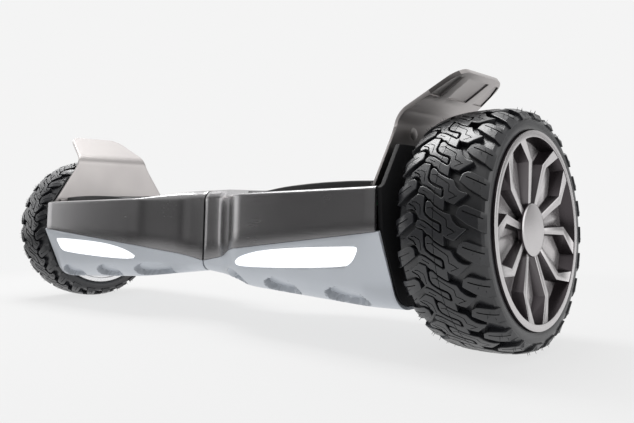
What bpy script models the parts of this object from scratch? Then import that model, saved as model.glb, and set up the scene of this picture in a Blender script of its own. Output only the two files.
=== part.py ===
"""Self-balancing two-wheeled board with off-road tyres, built piece by piece.

World frame in metres: +X runs along the board to its right-hand wheel, +Y to the rear, +Z up.
The origin is on the floor, midway between the wheels.  Both wheels and the centre pivot
turn about one line, parallel to X at axle height.
"""
import math

import bmesh
import bpy
from mathutils import Matrix, Vector

MM = 0.001
PART_NAME = "hoverboard"

# Overall: the body ends short of the wheels, whose tyres set its height above the floor
WHEEL_RADIUS = 108.0 * MM
AXLE_HEIGHT = WHEEL_RADIUS
COVER_END = 288.6 * MM
TYRE_HALF_WIDTH = 38.9 * MM
TYRE_TO_COVER = 17.5 * MM
HALF_TRACK = COVER_END + TYRE_TO_COVER + TYRE_HALF_WIDTH
SEAT_GAP = 0.3 * MM
CENTRE_GAP = 3.0 * MM

# Body, one half, measured along X from the centre plane
LOWER_END = COVER_END + 4.0 * MM
SHELL_WALL = 3.0 * MM
SEAM_GAP = 0.5 * MM
NECK_HALF_WIDTH = 54.0 * MM
NECK_END = 36.0 * MM
SHOULDER_X = 89.0 * MM
SHOULDER_SLOPE = 0.70
FLANK_SLOPE = 0.08
BLEND = 8.0 * MM
HIP_X = 105.0 * MM
DECK_HEIGHT = AXLE_HEIGHT + 39.5 * MM
NECK_TOP = AXLE_HEIGHT + 47.0 * MM
SEAM_START = AXLE_HEIGHT - 37.8 * MM
BOTTOM_START = AXLE_HEIGHT - 49.8 * MM
UPPER_WALL_LEAN = 0.05
LOWER_WALL_LEAN = 0.154
END_LEAN = 0.25
END_LEAN_START = COVER_END - 26.6 * MM
CORNER_STEPS = 3
EDGE_STEPS = 2

# Foot mats: (share of the way from the shoulder to the mat's end, inset from the side in mm)
MAT_END = COVER_END - 16.5 * MM
MAT_OUTLINE = [(-0.060, 36.0), (0.045, 21.0), (0.224, 17.6), (0.497, 16.4), (0.726, 17.7), (1.0, 21.7)]
MAT_TOP = DECK_HEIGHT + 7.3 * MM
MAT_BOTTOM = DECK_HEIGHT - 3.1 * MM
MAT_CLEARANCE = 0.5 * MM
MAT_TRAVEL = 1.2 * MM
POCKET_FLOOR = DECK_HEIGHT - 4.5 * MM
POCKET_PLATE = 2.5 * MM
POCKET_BORDER = 6.0 * MM
PLUNGER_SHARES = (0.205, 0.656)
PLUNGER_RADIUS = 5.5 * MM
PLUNGER_END = POCKET_FLOOR - 3.2 * MM
SWITCH_TOP = PLUNGER_END - MAT_TRAVEL - SEAT_GAP

# Fenders
FENDER_THICKNESS = 6.0 * MM
FENDER_OUTER_X = COVER_END - 2.0 * MM
FENDER_BASE_INSET = 9.0 * MM
FENDER_BEND_HALF = 60.0 * MM
FENDER_BEND_Z = AXLE_HEIGHT + WHEEL_RADIUS - 11.5 * MM
FENDER_BEND_RADIUS = 14.0 * MM
FENDER_BEND_STEPS = 4
FENDER_LIP_ANGLE = math.radians(32.5)
FENDER_LIP_LENGTH = 56.0 * MM
FENDER_LIP_HALF = 41.0 * MM
FENDER_CORNER = 14.0 * MM
FENDER_FLANGE = 6.0 * MM
FENDER_FLANGE_THICKNESS = 3.0 * MM
LIP_POCKET_DEPTH = 4.5 * MM

# Wheel-arch liners: (inset from the lower cover's side, height over the axle) above the seam
END_PLATE_OUTER = COVER_END + 1.7 * MM
LINER_INNER_X = END_PLATE_OUTER + SEAT_GAP
LINER_THICKNESS = 3.0 * MM
LINER_CLEARANCE = 0.8 * MM
LINER_TOP = [(4.7, 38.0), (10.2, 41.0), (34.7, 77.0)]
LINER_BORE = 21.0 * MM

# Lamps: (share of the flank's length, height over the axle in mm)
LENS_TOP = [(0.020, -33.5), (0.060, -28.3), (0.155, -23.2), (0.290, -18.7), (0.490, -15.6), (0.740, -13.4),
            (0.880, -12.4)]
LENS_BOTTOM = [(0.897, -15.0), (0.845, -30.0), (0.760, -32.6), (0.496, -35.8), (0.245, -37.8), (0.040, -38.0)]
LENS_GAP = 0.3 * MM
LAMP_GAP = 1.2 * MM
LAMP_BOARD_ENDS = [(0.115, -28.0), (0.757, -24.0)]

# Underside scoops along the front and rear lower edges
SCOOP_SHARES = (-0.005, 0.366, 0.751)
SCOOP_HALF_LENGTH = 26.0 * MM
SCOOP_HALF_HEIGHT = 10.0 * MM
SCOOP_DEPTH = 4.0 * MM

# Frame
PLATE_BOTTOM = AXLE_HEIGHT - 20.0 * MM
PLATE_TOP = PLATE_BOTTOM + 5.0 * MM
HUB_RADIUS = 27.0 * MM
HUB_START = 6.0 * MM
HUB_END = 66.0 * MM
RELIEF_LENGTH = 8.0 * MM
SADDLE_END = COVER_END - 3.6 * MM
SADDLE_START = SADDLE_END - 29.0 * MM
SADDLE_HALF = 24.0 * MM
CLAMP_TOP = AXLE_HEIGHT + 17.0 * MM
PLATE_OUTLINE = [(8.0 * MM, 18.0), (40.0 * MM, 20.0), (SHOULDER_X + 11 * MM, 17.5),
                 (SHOULDER_X + 41 * MM, 17.5), (SADDLE_END - 1 * MM, 28.8)]
COVER_POSTS = [(SHOULDER_X + 23 * MM, 26.0), (END_LEAN_START, 33.0)]
BOARD_POST_X = (SHOULDER_X + 12 * MM, COVER_END - 38.6 * MM)
BOARD_POST_Y = 30.0 * MM
SENSOR_BOARD_Z = SWITCH_TOP - 5.3 * MM
SENSOR_BOARD_HALF = 38.0 * MM
POST_RADIUS = 4.5 * MM
BATTERY_HALF = 48.0 * MM
BATTERY_BEVEL = 5.0 * MM

# Motor cables: (share of the way, offset to the rear, height over the axle)
CABLE_RADIUS = 3.2 * MM
CABLE_TO_BOARD = [(0.0, 0, 0), (0.16, 0, 0), (0.36, 3, 2), (0.68, 12, 8), (1.0, 14, 9)]
CABLE_TO_PLUG = [(0.0, 0, 0), (0.054, 0, 0), (0.16, 2, -4), (0.43, 6, -10.5), (0.67, 4, -10.5), (0.885, 0, -2),
                 (0.96, 0, 0), (1.0, 0, 0)]
HARNESS_PLUG_END = 84.0 * MM

# Centre pivot
PIVOT_SIDES = 12
TUBE_RADIUS = 17.0 * MM
TUBE_BORE = 13.0 * MM
BUSH_RADIUS = 20.0 * MM
COLLAR_RADIUS = 25.0 * MM
COLLAR_LENGTH = 3.0 * MM
BUSH_FLANGE = 2.0 * MM

# Hub motor and wheel, lengths along the axle measured from the wheel's middle plane
MOTOR_SIDES = 18
AXLE_SIDES = 12
AXLE_RADIUS = 8.0 * MM
AXLE_INNER = SADDLE_START - 4.0 * MM - HALF_TRACK
AXLE_OUTER = 24.0 * MM
STATOR_RADIUS = 66.0 * MM
STATOR_ROOT = 42.0 * MM
STATOR_SPAN = (-18.0 * MM, 9.0 * MM)
STATOR_TEETH = 9
MAGNET_RADIUS = 67.2 * MM
MAGNET_THICKNESS = 3.8 * MM
RIM_RADIUS = 86.0 * MM
SHELL_INNER_H = -38.3 * MM
SHELL_OUTER_H = 24.3 * MM
SHELL_WALL_H = 19.5 * MM
COVER_SEAT_H = -32.0 * MM
BOSS_WALL = 5.5 * MM
SIDE_COVER_RADIUS = 80.0 * MM
BEARING_RADIUS = 17.5 * MM
BEARING_WIDTH = 11.0 * MM
RIM_SIDES = 28
RIM_FACE = 40.2 * MM
RIM_FLOOR = 27.5 * MM
RIM_BACK = SHELL_OUTER_H + SEAT_GAP
RIM_RING = 79.0 * MM
SPOKE_PAIRS = 5
SPOKE_PHASE = math.radians(48.0)
SPOKE_OUTLINE = [(20, 3.4), (56.5, 17.5), (81, 6.2), (81, 19.6), (54, 27.0), (18, 10.5)]
SPOKE_HUB_FACE = 33.4 * MM
CAP_RADIUS = 23.15 * MM
CAP_FACE = 35.2 * MM
CAP_THICKNESS = 3.0 * MM
CAP_SIDES = 16

# Tyre: each tread row is (share of the half width, drop below the crown in mm, turn in degrees)
BEAD_RADIUS = 86.7 * MM
TREAD_PITCHES = 24
TREAD_DEPTH = 5.6 * MM
TREAD_BLOCK_SHARE = 0.63
TREAD_ROWS = [(1.0, 7.4, 17.5), (0.49, 0.8, 14.0), (0.08, 0.0, 7.7), (-0.08, 0.0, 5.7),
              (-0.49, 0.8, 0.0), (-1.0, 7.4, 3.5)]
BLOCK_WIDTH_SHARE = 0.86
BLOCK_LENGTH_SHARE = 0.96

# Button and charging port on the rear wall of the right half
PORT_SIDES = 12
BUTTON_X = SHOULDER_X + 33.0 * MM
PORT_X = SHOULDER_X + 69.0 * MM
PORT_Z = AXLE_HEIGHT - 28.5 * MM
BUTTON_RADIUS = 6.6 * MM
BUTTON_TRAVEL = 1.2 * MM
SLEEVE_WALL = 1.4 * MM
SLEEVE_DEPTH = 12.0 * MM
FLANGE_RADIUS = 10.8 * MM
FLANGE_RISE = 1.8 * MM
PORT_BORE = 6.6 * MM
CAP_LID_THICKNESS = 2.4 * MM
STRAP_BOTTOM = FLANGE_RISE + SEAT_GAP + 0.2 * MM
STRAP_THICKNESS = 1.8 * MM
HINGE_REACH = FLANGE_RADIUS + 2.0 * MM


def smooth_ramp(distance, half):
    """Zero before the corner, the distance after it, with a parabola over the blend."""
    if distance <= -half:
        return 0.0
    if distance >= half:
        return distance
    return (distance + half) ** 2 / (4.0 * half)


def half_width(x):
    """Half the body's depth at the seam: a straight neck, a flared shoulder, a long flank."""
    flare = SHOULDER_SLOPE * smooth_ramp(x - NECK_END, BLEND)
    return NECK_HALF_WIDTH + flare - (SHOULDER_SLOPE - FLANK_SLOPE) * smooth_ramp(x - SHOULDER_X, BLEND)


def seam_height(x):
    rise = 0.175 * x + 0.045 * smooth_ramp(x - NECK_END, BLEND)
    return SEAM_START + rise - 0.120 * smooth_ramp(x - SHOULDER_X, BLEND)


def bottom_height(x):
    return BOTTOM_START - 0.11 * x + 0.066 * smooth_ramp(x - HIP_X, 2 * BLEND)


def deck_height(x):
    fall = (NECK_TOP - DECK_HEIGHT) / (SHOULDER_X - NECK_END)
    drop = smooth_ramp(x - NECK_END, BLEND) - smooth_ramp(x - SHOULDER_X, BLEND)
    return NECK_TOP - fall * drop


def flank(share):
    """X at a share of the flank's length, from the shoulder to the cover's end."""
    return SHOULDER_X + share * (COVER_END - SHOULDER_X)


def inset_outline(points):
    """A half outline in the XY plane, from places along X and insets (mm) from the side."""
    return [(x, half_width(x) - inset * MM) for x, inset in points]


def shoulder_share(x):
    """0 in the neck and 1 past the shoulder."""
    return min(1.0, max(0.0, (x - NECK_END) / (SHOULDER_X - NECK_END)))


def lower_lean(x):
    run = LOWER_END - END_LEAN_START
    return LOWER_WALL_LEAN + END_LEAN * smooth_ramp(x - END_LEAN_START, BLEND) / run


def lower_section(x):
    """Half section of the lower shell, from the seam down round the corner to the middle."""
    width, seam, bottom = half_width(x), seam_height(x), bottom_height(x)
    radius = 11.0 * MM + 14.0 * MM * shoulder_share(x)
    lean = math.atan(lower_lean(x))
    centre_z = bottom + radius
    touch_z = centre_z - radius * math.sin(lean)
    centre_y = width - math.tan(lean) * (seam - touch_z) - radius * math.cos(lean)
    points = [(width, seam)]
    for step in range(CORNER_STEPS + 1):
        angle = -lean - (math.pi / 2 - lean) * step / CORNER_STEPS
        points.append((centre_y + radius * math.cos(angle), centre_z + radius * math.sin(angle)))
    points.append((0.0, bottom))
    return points


def upper_section(x):
    """Half section of the upper cover, from the seam up over the edge to the middle."""
    width, seam, top = half_width(x), seam_height(x), deck_height(x)
    radius = 14.0 * MM - 10.0 * MM * shoulder_share(x)
    wall_top = width - UPPER_WALL_LEAN * (top - radius - seam)
    points = [(width, seam)]
    for step in range(EDGE_STEPS + 1):
        angle = math.pi / 2 * step / EDGE_STEPS
        points.append((wall_top - radius + radius * math.cos(angle), top - radius + radius * math.sin(angle)))
    points.append((0.0, top))
    return points


def lower_wall_y(x, z):
    """Outer surface of the lower shell's leaning wall."""
    return half_width(x) - lower_lean(x) * (seam_height(x) - z)


# Scene and mesh helpers

def clear_scene():
    for obj in list(bpy.data.objects):
        bpy.data.objects.remove(obj, do_unlink=True)


def new_collection(name):
    collection = bpy.data.collections.new(name)
    bpy.context.scene.collection.children.link(collection)
    return collection


clear_scene()
PARTS = new_collection(PART_NAME)
AXES = new_collection(PART_NAME + "_axes")


def object_from(name, mesh):
    obj = bpy.data.objects.new(name, mesh)
    PARTS.objects.link(obj)
    return obj


def object_from_bmesh(name, bm):
    mesh = bpy.data.meshes.new(name)
    bm.to_mesh(mesh)
    bm.free()
    return object_from(name, mesh)


def bake(obj, weld=0.00001):
    """Apply the object's modifiers and placement, weld it and turn its faces outwards."""
    bpy.context.view_layer.update()
    evaluated = obj.evaluated_get(bpy.context.evaluated_depsgraph_get())
    mesh = bpy.data.meshes.new_from_object(evaluated)
    mesh.transform(obj.matrix_world)
    bm = bmesh.new()
    bm.from_mesh(mesh)
    bmesh.ops.remove_doubles(bm, verts=bm.verts, dist=weld)
    bmesh.ops.recalc_face_normals(bm, faces=bm.faces)
    bm.to_mesh(mesh)
    bm.free()
    name = obj.name
    bpy.data.objects.remove(obj, do_unlink=True)
    return object_from(name, mesh)


def combine(obj, tool, operation):
    """Boolean of two meshes; the second one is used up."""
    modifier = obj.modifiers.new(operation.lower(), "BOOLEAN")
    modifier.operation = operation
    modifier.solver = "EXACT"
    modifier.object = tool
    bpy.context.view_layer.update()
    evaluated = obj.evaluated_get(bpy.context.evaluated_depsgraph_get())
    mesh = bpy.data.meshes.new_from_object(evaluated)
    obj.modifiers.clear()
    obj.data = mesh
    bpy.data.objects.remove(tool, do_unlink=True)
    return obj


def join(obj, *tools):
    for tool in tools:
        combine(obj, tool, "UNION")
    return obj


def cut(obj, *tools):
    for tool in tools:
        combine(obj, tool, "DIFFERENCE")
    return obj


def copy_of(obj, name):
    return object_from(name, obj.data.copy())


def box(name, low, high):
    """A box between two corners given in metres."""
    bm = bmesh.new()
    bmesh.ops.create_cube(bm, size=1.0)
    size = Vector(high) - Vector(low)
    centre = (Vector(high) + Vector(low)) / 2
    bmesh.ops.transform(bm, matrix=Matrix.Translation(centre) @ Matrix.Diagonal((*size, 1.0)), verts=bm.verts)
    return object_from_bmesh(name, bm)


def post(name, x, y, bottom, top, radius, segments=6):
    """An upright round post."""
    bm = bmesh.new()
    bmesh.ops.create_cone(bm, cap_ends=True, segments=segments, radius1=radius, radius2=radius,
                          depth=top - bottom)
    bmesh.ops.translate(bm, vec=(x, y, (top + bottom) / 2), verts=bm.verts)
    return object_from_bmesh(name, bm)


def plate(name, outline, thickness, holes=()):
    """A flat outline in the XY plane, given thickness along Z from 0 upwards."""
    curve = bpy.data.curves.new(name, "CURVE")
    curve.dimensions = "2D"
    curve.fill_mode = "BOTH"
    curve.extrude = thickness / 2
    for loop in (outline, *holes):
        spline = curve.splines.new("POLY")
        spline.points.add(len(loop) - 1)
        for point, (x, y) in zip(spline.points, loop):
            point.co = (x, y, 0.0, 1.0)
        spline.use_cyclic_u = True
    obj = object_from(name, curve)
    obj.location = (0.0, 0.0, thickness / 2)
    return bake(obj)


def circle_points(radius, segments, centre=(0.0, 0.0)):
    turn = 2 * math.pi / segments
    return [(centre[0] + radius * math.cos(turn * k), centre[1] + radius * math.sin(turn * k))
            for k in range(segments)]


def turned(name, profile, segments):
    """A solid of revolution about Z from a (radius, height) profile.

    The profile runs down the outer side.  A ring's profile is a closed loop; a profile whose
    ends lie on the axis makes a full solid.
    """
    mesh = bpy.data.meshes.new(name)
    vertices = [(radius, 0.0, height) for radius, height in profile]
    edges = [(k, k + 1) for k in range(len(profile) - 1)]
    if profile[0][0] > 0.0:
        edges.append((len(profile) - 1, 0))
    mesh.from_pydata(vertices, edges, [])
    obj = object_from(name, mesh)
    screw = obj.modifiers.new("turn", "SCREW")
    screw.axis = "Z"
    screw.angle = 2 * math.pi
    screw.steps = segments
    screw.render_steps = segments
    screw.use_merge_vertices = True
    screw.merge_threshold = 0.00001
    return bake(obj)


def ring_profile(inner, outer, low, high):
    return [(outer, high), (outer, low), (inner, low), (inner, high)]


def rod_profile(radius, low, high):
    return [(0.0, high), (radius, high), (radius, low), (0.0, low)]


def placed(obj, matrix):
    obj.data.transform(matrix)
    return obj


def along_x(obj, x=0.0, y=0.0, z=AXLE_HEIGHT):
    """Lay a piece modelled about Z along X, its own zero at x."""
    return placed(obj, Matrix.Translation((x, y, z)) @ Matrix.Rotation(math.pi / 2, 4, "Y"))


def facing_y(obj, y):
    """Stand a piece modelled in the XY plane up in the XZ plane, its thickness towards -Y."""
    return placed(obj, Matrix.Translation((0.0, y, 0.0)) @ Matrix.Rotation(math.pi / 2, 4, "X"))


def facing_x(obj, x):
    """Stand a piece modelled in the XY plane up in the YZ plane, its thickness towards +X."""
    swap = Matrix(((0, 0, 1, x), (1, 0, 0, 0), (0, 1, 0, 0), (0, 0, 0, 1)))
    return placed(obj, swap)


def surface_from_sections(name, sections):
    """An open loft through sections that have the same number of points."""
    bm = bmesh.new()
    rows = [[bm.verts.new(point) for point in section] for section in sections]
    for before, after in zip(rows, rows[1:]):
        for k in range(len(before) - 1):
            bm.faces.new((before[k], after[k], after[k + 1], before[k + 1]))
    return object_from_bmesh(name, bm)


def thickened(obj, thickness, offset=-1.0):
    solidify = obj.modifiers.new("wall", "SOLIDIFY")
    solidify.thickness = thickness
    solidify.offset = offset
    solidify.use_even_offset = True
    return bake(obj)


def bevelled(obj, width, segments=1, angle=math.radians(50)):
    bevel = obj.modifiers.new("edges", "BEVEL")
    bevel.width = width
    bevel.segments = segments
    bevel.limit_method = "ANGLE"
    bevel.angle_limit = angle
    return bake(obj)


def mirrored(obj, name):
    """The left-hand copy of a right-hand piece."""
    bm = bmesh.new()
    bm.from_mesh(obj.data)
    bmesh.ops.scale(bm, vec=(-1.0, 1.0, 1.0), verts=bm.verts)
    bmesh.ops.reverse_faces(bm, faces=bm.faces)
    return object_from_bmesh(name, bm)


def half_turned(obj, name):
    """The left-hand copy of a wheel piece: the same piece turned half round."""
    return placed(copy_of(obj, name), Matrix.Rotation(math.pi, 4, "Z"))


def both_signs(outline):
    """Close a half outline given at +Y with its mirror image at -Y."""
    return [(x, -y) for x, y in outline] + list(reversed(outline))


# Shells

def around(*bends):
    """Places before, at and after each bend, so a straight loft between them keeps the curve."""
    return [x + shift for x, half in bends for shift in (-half, 0.0, half)]


UPPER_STATIONS = [CENTRE_GAP / 2, *around((NECK_END, BLEND), (SHOULDER_X, BLEND)), COVER_END]
LOWER_STATIONS = [CENTRE_GAP / 2, *around((NECK_END, BLEND), (SHOULDER_X, BLEND)), HIP_X + BLEND,
                  END_LEAN_START, END_LEAN_START + BLEND, LOWER_END]


def shell_rows(section, stations):
    rows = []
    for x in stations:
        half = section(x)
        rows.append([(x, -y, z) for y, z in half] + [(x, y, z) for y, z in reversed(half[:-1])])
    return rows


def filled(name, rows):
    """The solid inside a shell: its skin closed across the open side and at both ends."""
    bm = bmesh.new()
    rings = [[bm.verts.new(point) for point in row] for row in rows]
    for before, after in zip(rings, rings[1:]):
        for k in range(len(before)):
            bm.faces.new((before[k], after[k], after[k - 1], before[k - 1]))
    bm.faces.new(rings[0])
    bm.faces.new(reversed(rings[-1]))
    bmesh.ops.recalc_face_normals(bm, faces=bm.faces)
    return object_from_bmesh(name, bm)


def lens_outline(inset):
    """The lamp's outline in the XZ plane, drawn in by the inset."""
    points = [Vector((flank(share), AXLE_HEIGHT + z * MM)) for share, z in LENS_TOP + LENS_BOTTOM]
    count = len(points)
    result = []
    for k in range(count):
        before = (points[k] - points[k - 1]).normalized()
        after = (points[(k + 1) % count] - points[k]).normalized()
        normal = Vector((before.y + after.y, -before.x - after.x)).normalized()
        reach = inset / max(0.5, normal.dot(Vector((after.y, -after.x))))
        result.append(points[k] + normal * reach)
    return [(p.x, p.y) for p in result]


def lens_prism(name, inset):
    prism = plate(name, lens_outline(inset), 45.0 * MM)
    return facing_y(prism, -half_width(SHOULDER_X) + 15.0 * MM)


def lower_core(x):
    """The lower section drawn in to about half the wall."""
    seam = seam_height(x)
    return [(y - min(y, SHELL_WALL / 2), seam - (seam - z) * 0.97) for y, z in lower_section(x)]


def beyond_seam(name, edge, depth):
    """All that lies past a cover's edge, which runs along the seam at a height off it."""
    rows = []
    for x in (0.0, *LOWER_STATIONS[1:-1], LOWER_END + 10 * MM):
        z = seam_height(x) + edge
        rows.append([(x, -0.3, z), (x, 0.3, z), (x, 0.3, z + depth), (x, -0.3, z + depth)])
    return filled(name, rows)


def scoop_tool(name, x, side):
    """A long dish laid into the lower edge, half of it outside the shell."""
    bm = bmesh.new()
    bmesh.ops.create_uvsphere(bm, u_segments=6, v_segments=4, radius=1.0)
    lay = Matrix.Rotation(math.pi / 2, 4, "Y") @ Matrix.Rotation(math.pi / 6, 4, "Z")
    scale = Matrix.Diagonal((SCOOP_HALF_LENGTH, SCOOP_HALF_HEIGHT, 2 * SCOOP_DEPTH, 1.0))
    place, lean = scoop_place(x, side, SCOOP_DEPTH)
    bmesh.ops.transform(bm, matrix=Matrix.Translation(place) @ lean @ scale @ lay, verts=bm.verts)
    return object_from_bmesh(name, bm)


def scoop_place(x, side, out):
    """A place off the lower edge and the turn that faces it along the edge's slope."""
    section = lower_section(x)
    (y0, z0), (y1, z1) = section[2], section[3]
    normal = Vector((0.0, side * (z0 - z1), y1 - y0)).normalized()
    middle = Vector((x, side * (y0 + y1) / 2, (z0 + z1) / 2))
    turn = Matrix.Rotation(math.atan2(-normal.y, normal.z), 4, "X")
    return middle + normal * out, turn


def scoop_backing(x, side, skin):
    """The wall behind a scoop, trimmed just inside the shell's own skin."""
    place, lean = scoop_place(x, side, -SCOOP_DEPTH)
    reach = Vector((SCOOP_HALF_LENGTH * 0.86, SCOOP_HALF_HEIGHT * 0.95, SCOOP_DEPTH + SHELL_WALL))
    backing = placed(box("backing", -reach, reach), Matrix.Translation(place) @ lean)
    return combine(backing, copy_of(skin, "skin"), "INTERSECT")


def make_lower_cover():
    rows = shell_rows(lower_section, LOWER_STATIONS)
    cover = thickened(surface_from_sections("right_lower_cover", rows), SHELL_WALL, 1.0)
    cut(cover, beyond_seam("above", -SEAM_GAP / 2, 30 * MM))
    lens_source = copy_of(cover, "right_lamp_lens")
    skin = filled("skin", shell_rows(lower_core, LOWER_STATIONS))
    for share in SCOOP_SHARES:
        for side in (-1, 1):
            join(cover, scoop_backing(flank(share), side, skin))
            cut(cover, scoop_tool("scoop", flank(share), side))
    bpy.data.objects.remove(skin, do_unlink=True)
    for x, y in inset_outline(COVER_POSTS):
        for side in (-1, 1):
            join(cover, post("boss", x, side * y, bottom_height(x) + SHELL_WALL / 2, PLATE_BOTTOM - SEAT_GAP,
                             POST_RADIUS))
    cut(cover, lens_prism("lens_hole", 0.0))
    lens = combine(lens_source, lens_prism("lens_shape", LENS_GAP), "INTERSECT")
    return cover, lens


def make_upper_cover():
    rows = shell_rows(upper_section, UPPER_STATIONS)
    cover = thickened(surface_from_sections("right_upper_cover", rows), SHELL_WALL)
    cut(cover, beyond_seam("below", SEAM_GAP / 2, -30 * MM))
    tray = plate("tray", both_signs(grown(mat_outline(), POCKET_BORDER)),
                 DECK_HEIGHT - 1.0 * MM - (POCKET_FLOOR - POCKET_PLATE))
    placed(tray, Matrix.Translation((0, 0, POCKET_FLOOR - POCKET_PLATE)))
    join(cover, tray)
    pocket = plate("pocket", both_signs(grown(mat_outline(), MAT_CLEARANCE)), 20.0 * MM)
    cut(cover, placed(pocket, Matrix.Translation((0, 0, POCKET_FLOOR))))
    for x, y in inset_outline(COVER_POSTS):
        for side in (-1, 1):
            join(cover, post("boss", x, side * y, PLATE_TOP + SEAT_GAP, POCKET_FLOOR - POCKET_PLATE / 2,
                             POST_RADIUS))
    for share in PLUNGER_SHARES:
        cut(cover, post("guide", flank(share), 0.0, POCKET_FLOOR - 3 * POCKET_PLATE, POCKET_FLOOR + POCKET_PLATE,
                        PLUNGER_RADIUS + 1.0 * MM, 10))
    return cover


def mat_outline():
    length = MAT_END - SHOULDER_X
    return inset_outline([(SHOULDER_X + share * length, inset) for share, inset in MAT_OUTLINE])


def grown(outline, margin):
    """Grow a half outline outwards by a margin at both ends and at its side."""
    first, last = outline[0], outline[-1]
    middle = [(x - margin * 0.35, y + margin * 0.94) for x, y in outline[1:-2]]
    return ([(first[0] - margin, first[1] + margin * 0.2)] + middle
            + [(outline[-2][0], outline[-2][1] + margin), (last[0] + margin, last[1] + margin)])


def make_mat():
    mat = plate("right_foot_mat", both_signs(mat_outline()), MAT_TOP - MAT_BOTTOM)
    placed(mat, Matrix.Translation((0, 0, MAT_BOTTOM)))
    mat = bevelled(mat, 2.0 * MM, 1, math.radians(60))
    for share in PLUNGER_SHARES:
        join(mat, post("plunger", flank(share), 0.0, PLUNGER_END, MAT_BOTTOM + 1.0 * MM, PLUNGER_RADIUS, 10))
    return mat


# Fender and liner

def fender_path():
    """Points (x, z, s) on the outer face: up, round the bend and out over the tyre."""
    start = deck_height(COVER_END) + SEAT_GAP
    turn = math.pi / 2 - FENDER_LIP_ANGLE
    rise = FENDER_BEND_Z - start
    points = [(FENDER_OUTER_X, start, 0.0), (FENDER_OUTER_X, start + rise, rise)]
    for step in range(1, FENDER_BEND_STEPS + 1):
        angle = turn * step / FENDER_BEND_STEPS
        x = FENDER_OUTER_X + FENDER_BEND_RADIUS * (1 - math.cos(angle))
        z = FENDER_BEND_Z + FENDER_BEND_RADIUS * math.sin(angle)
        points.append((x, z, rise + FENDER_BEND_RADIUS * angle))
    x0, z0, s0 = points[-1]
    for share in (1 - FENDER_CORNER / FENDER_LIP_LENGTH, 0.75, 0.86, 0.95, 1.0):
        run = FENDER_LIP_LENGTH * share
        points.append((x0 + run * math.cos(FENDER_LIP_ANGLE), z0 + run * math.sin(FENDER_LIP_ANGLE), s0 + run))
    return points


def fender_half_width(s, total):
    """Tapers to the bend, then runs out with rounded corners."""
    bend = FENDER_BEND_Z - deck_height(COVER_END)
    base = half_width(COVER_END) - FENDER_BASE_INSET
    if s <= bend:
        return base + (FENDER_BEND_HALF - base) * s / bend
    width = FENDER_BEND_HALF + (FENDER_LIP_HALF - FENDER_BEND_HALF) * (s - bend) / (total - bend)
    left = total - s
    if left < FENDER_CORNER:
        fall = FENDER_CORNER - left
        width -= FENDER_CORNER - math.sqrt(max(0.0, FENDER_CORNER ** 2 - fall ** 2))
    return width


def lip_frame():
    """Places a pocket outline (y, distance out from the bend) on the lip's under face."""
    x0, z0, _ = fender_path()[FENDER_BEND_STEPS + 1]
    out = Vector((math.cos(FENDER_LIP_ANGLE), 0.0, math.sin(FENDER_LIP_ANGLE)))
    down = Vector((math.sin(FENDER_LIP_ANGLE), 0.0, -math.cos(FENDER_LIP_ANGLE)))
    across = Vector((0.0, 1.0, 0.0))
    matrix = Matrix((across, out, down)).transposed().to_4x4()
    matrix.translation = Vector((x0, 0.0, z0))
    return matrix


LIP_POCKETS = [
    [(-17, 22), (17, 22), (18.5, 49), (-18.5, 49)],
    [(-49.5, 22), (-31, 22), (-31, 49), (-38.5, 49), (-45, 36)],
    [(49.5, 22), (45, 36), (38.5, 49), (31, 49), (31, 22)],
]


def make_fender():
    path = fender_path()
    total = path[-1][2]
    shares = [-1.0, 0.0, 1.0]
    sections = []
    for x, z, s in path:
        width = fender_half_width(s, total)
        sections.append([(x, width * share, z) for share in shares])
    surface = surface_from_sections("right_fender", sections)
    fender = thickened(surface, FENDER_THICKNESS, 1.0)
    start = deck_height(COVER_END) + SEAT_GAP
    inner = FENDER_OUTER_X - FENDER_THICKNESS
    reach = fender_half_width(0.0, total) - 6 * MM
    flange = box("flange", (inner - FENDER_FLANGE, -reach, start),
                 (inner + 1.0 * MM, reach, start + FENDER_FLANGE_THICKNESS))
    join(fender, flange)
    for outline in LIP_POCKETS:
        pocket = plate("pocket", [(y * MM, s * MM) for y, s in outline], LIP_POCKET_DEPTH + 6 * MM)
        placed(pocket, Matrix.Translation((0, 0, -LIP_POCKET_DEPTH)))
        cut(fender, placed(pocket, lip_frame()))
    return fender


def drawn_in(section, distance):
    """A half section moved inwards, each edge by the same distance."""
    lines = []
    for (y0, z0), (y1, z1) in zip(section, section[1:]):
        along = Vector((y1 - y0, z1 - z0)).normalized()
        lines.append((Vector((y0, z0)) + Vector((along.y, -along.x)) * distance, along))
    points = [lines[0][0]]
    for (p, t), (q, w) in zip(lines, lines[1:]):
        points.append(p + t * ((q - p).cross(w) / t.cross(w)))
    return [(point.x, point.y) for point in points]


def make_liner():
    """A flat plate that follows the inside of the lower cover and rises behind the fender."""
    lower = drawn_in(lower_section(LOWER_END), SHELL_WALL + LINER_CLEARANCE)
    side = half_width(LOWER_END)
    upper = [(side - inset * MM, AXLE_HEIGHT + z * MM) for inset, z in LINER_TOP]
    right = list(reversed(lower)) + upper
    outline = right + [(-y, z) for y, z in reversed(right)]
    bore = circle_points(LINER_BORE, 20, (0.0, AXLE_HEIGHT))
    liner = plate("right_wheel_arch", outline, LINER_THICKNESS, [bore])
    return facing_x(liner, LINER_INNER_X)


# Frame and electronics

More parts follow.
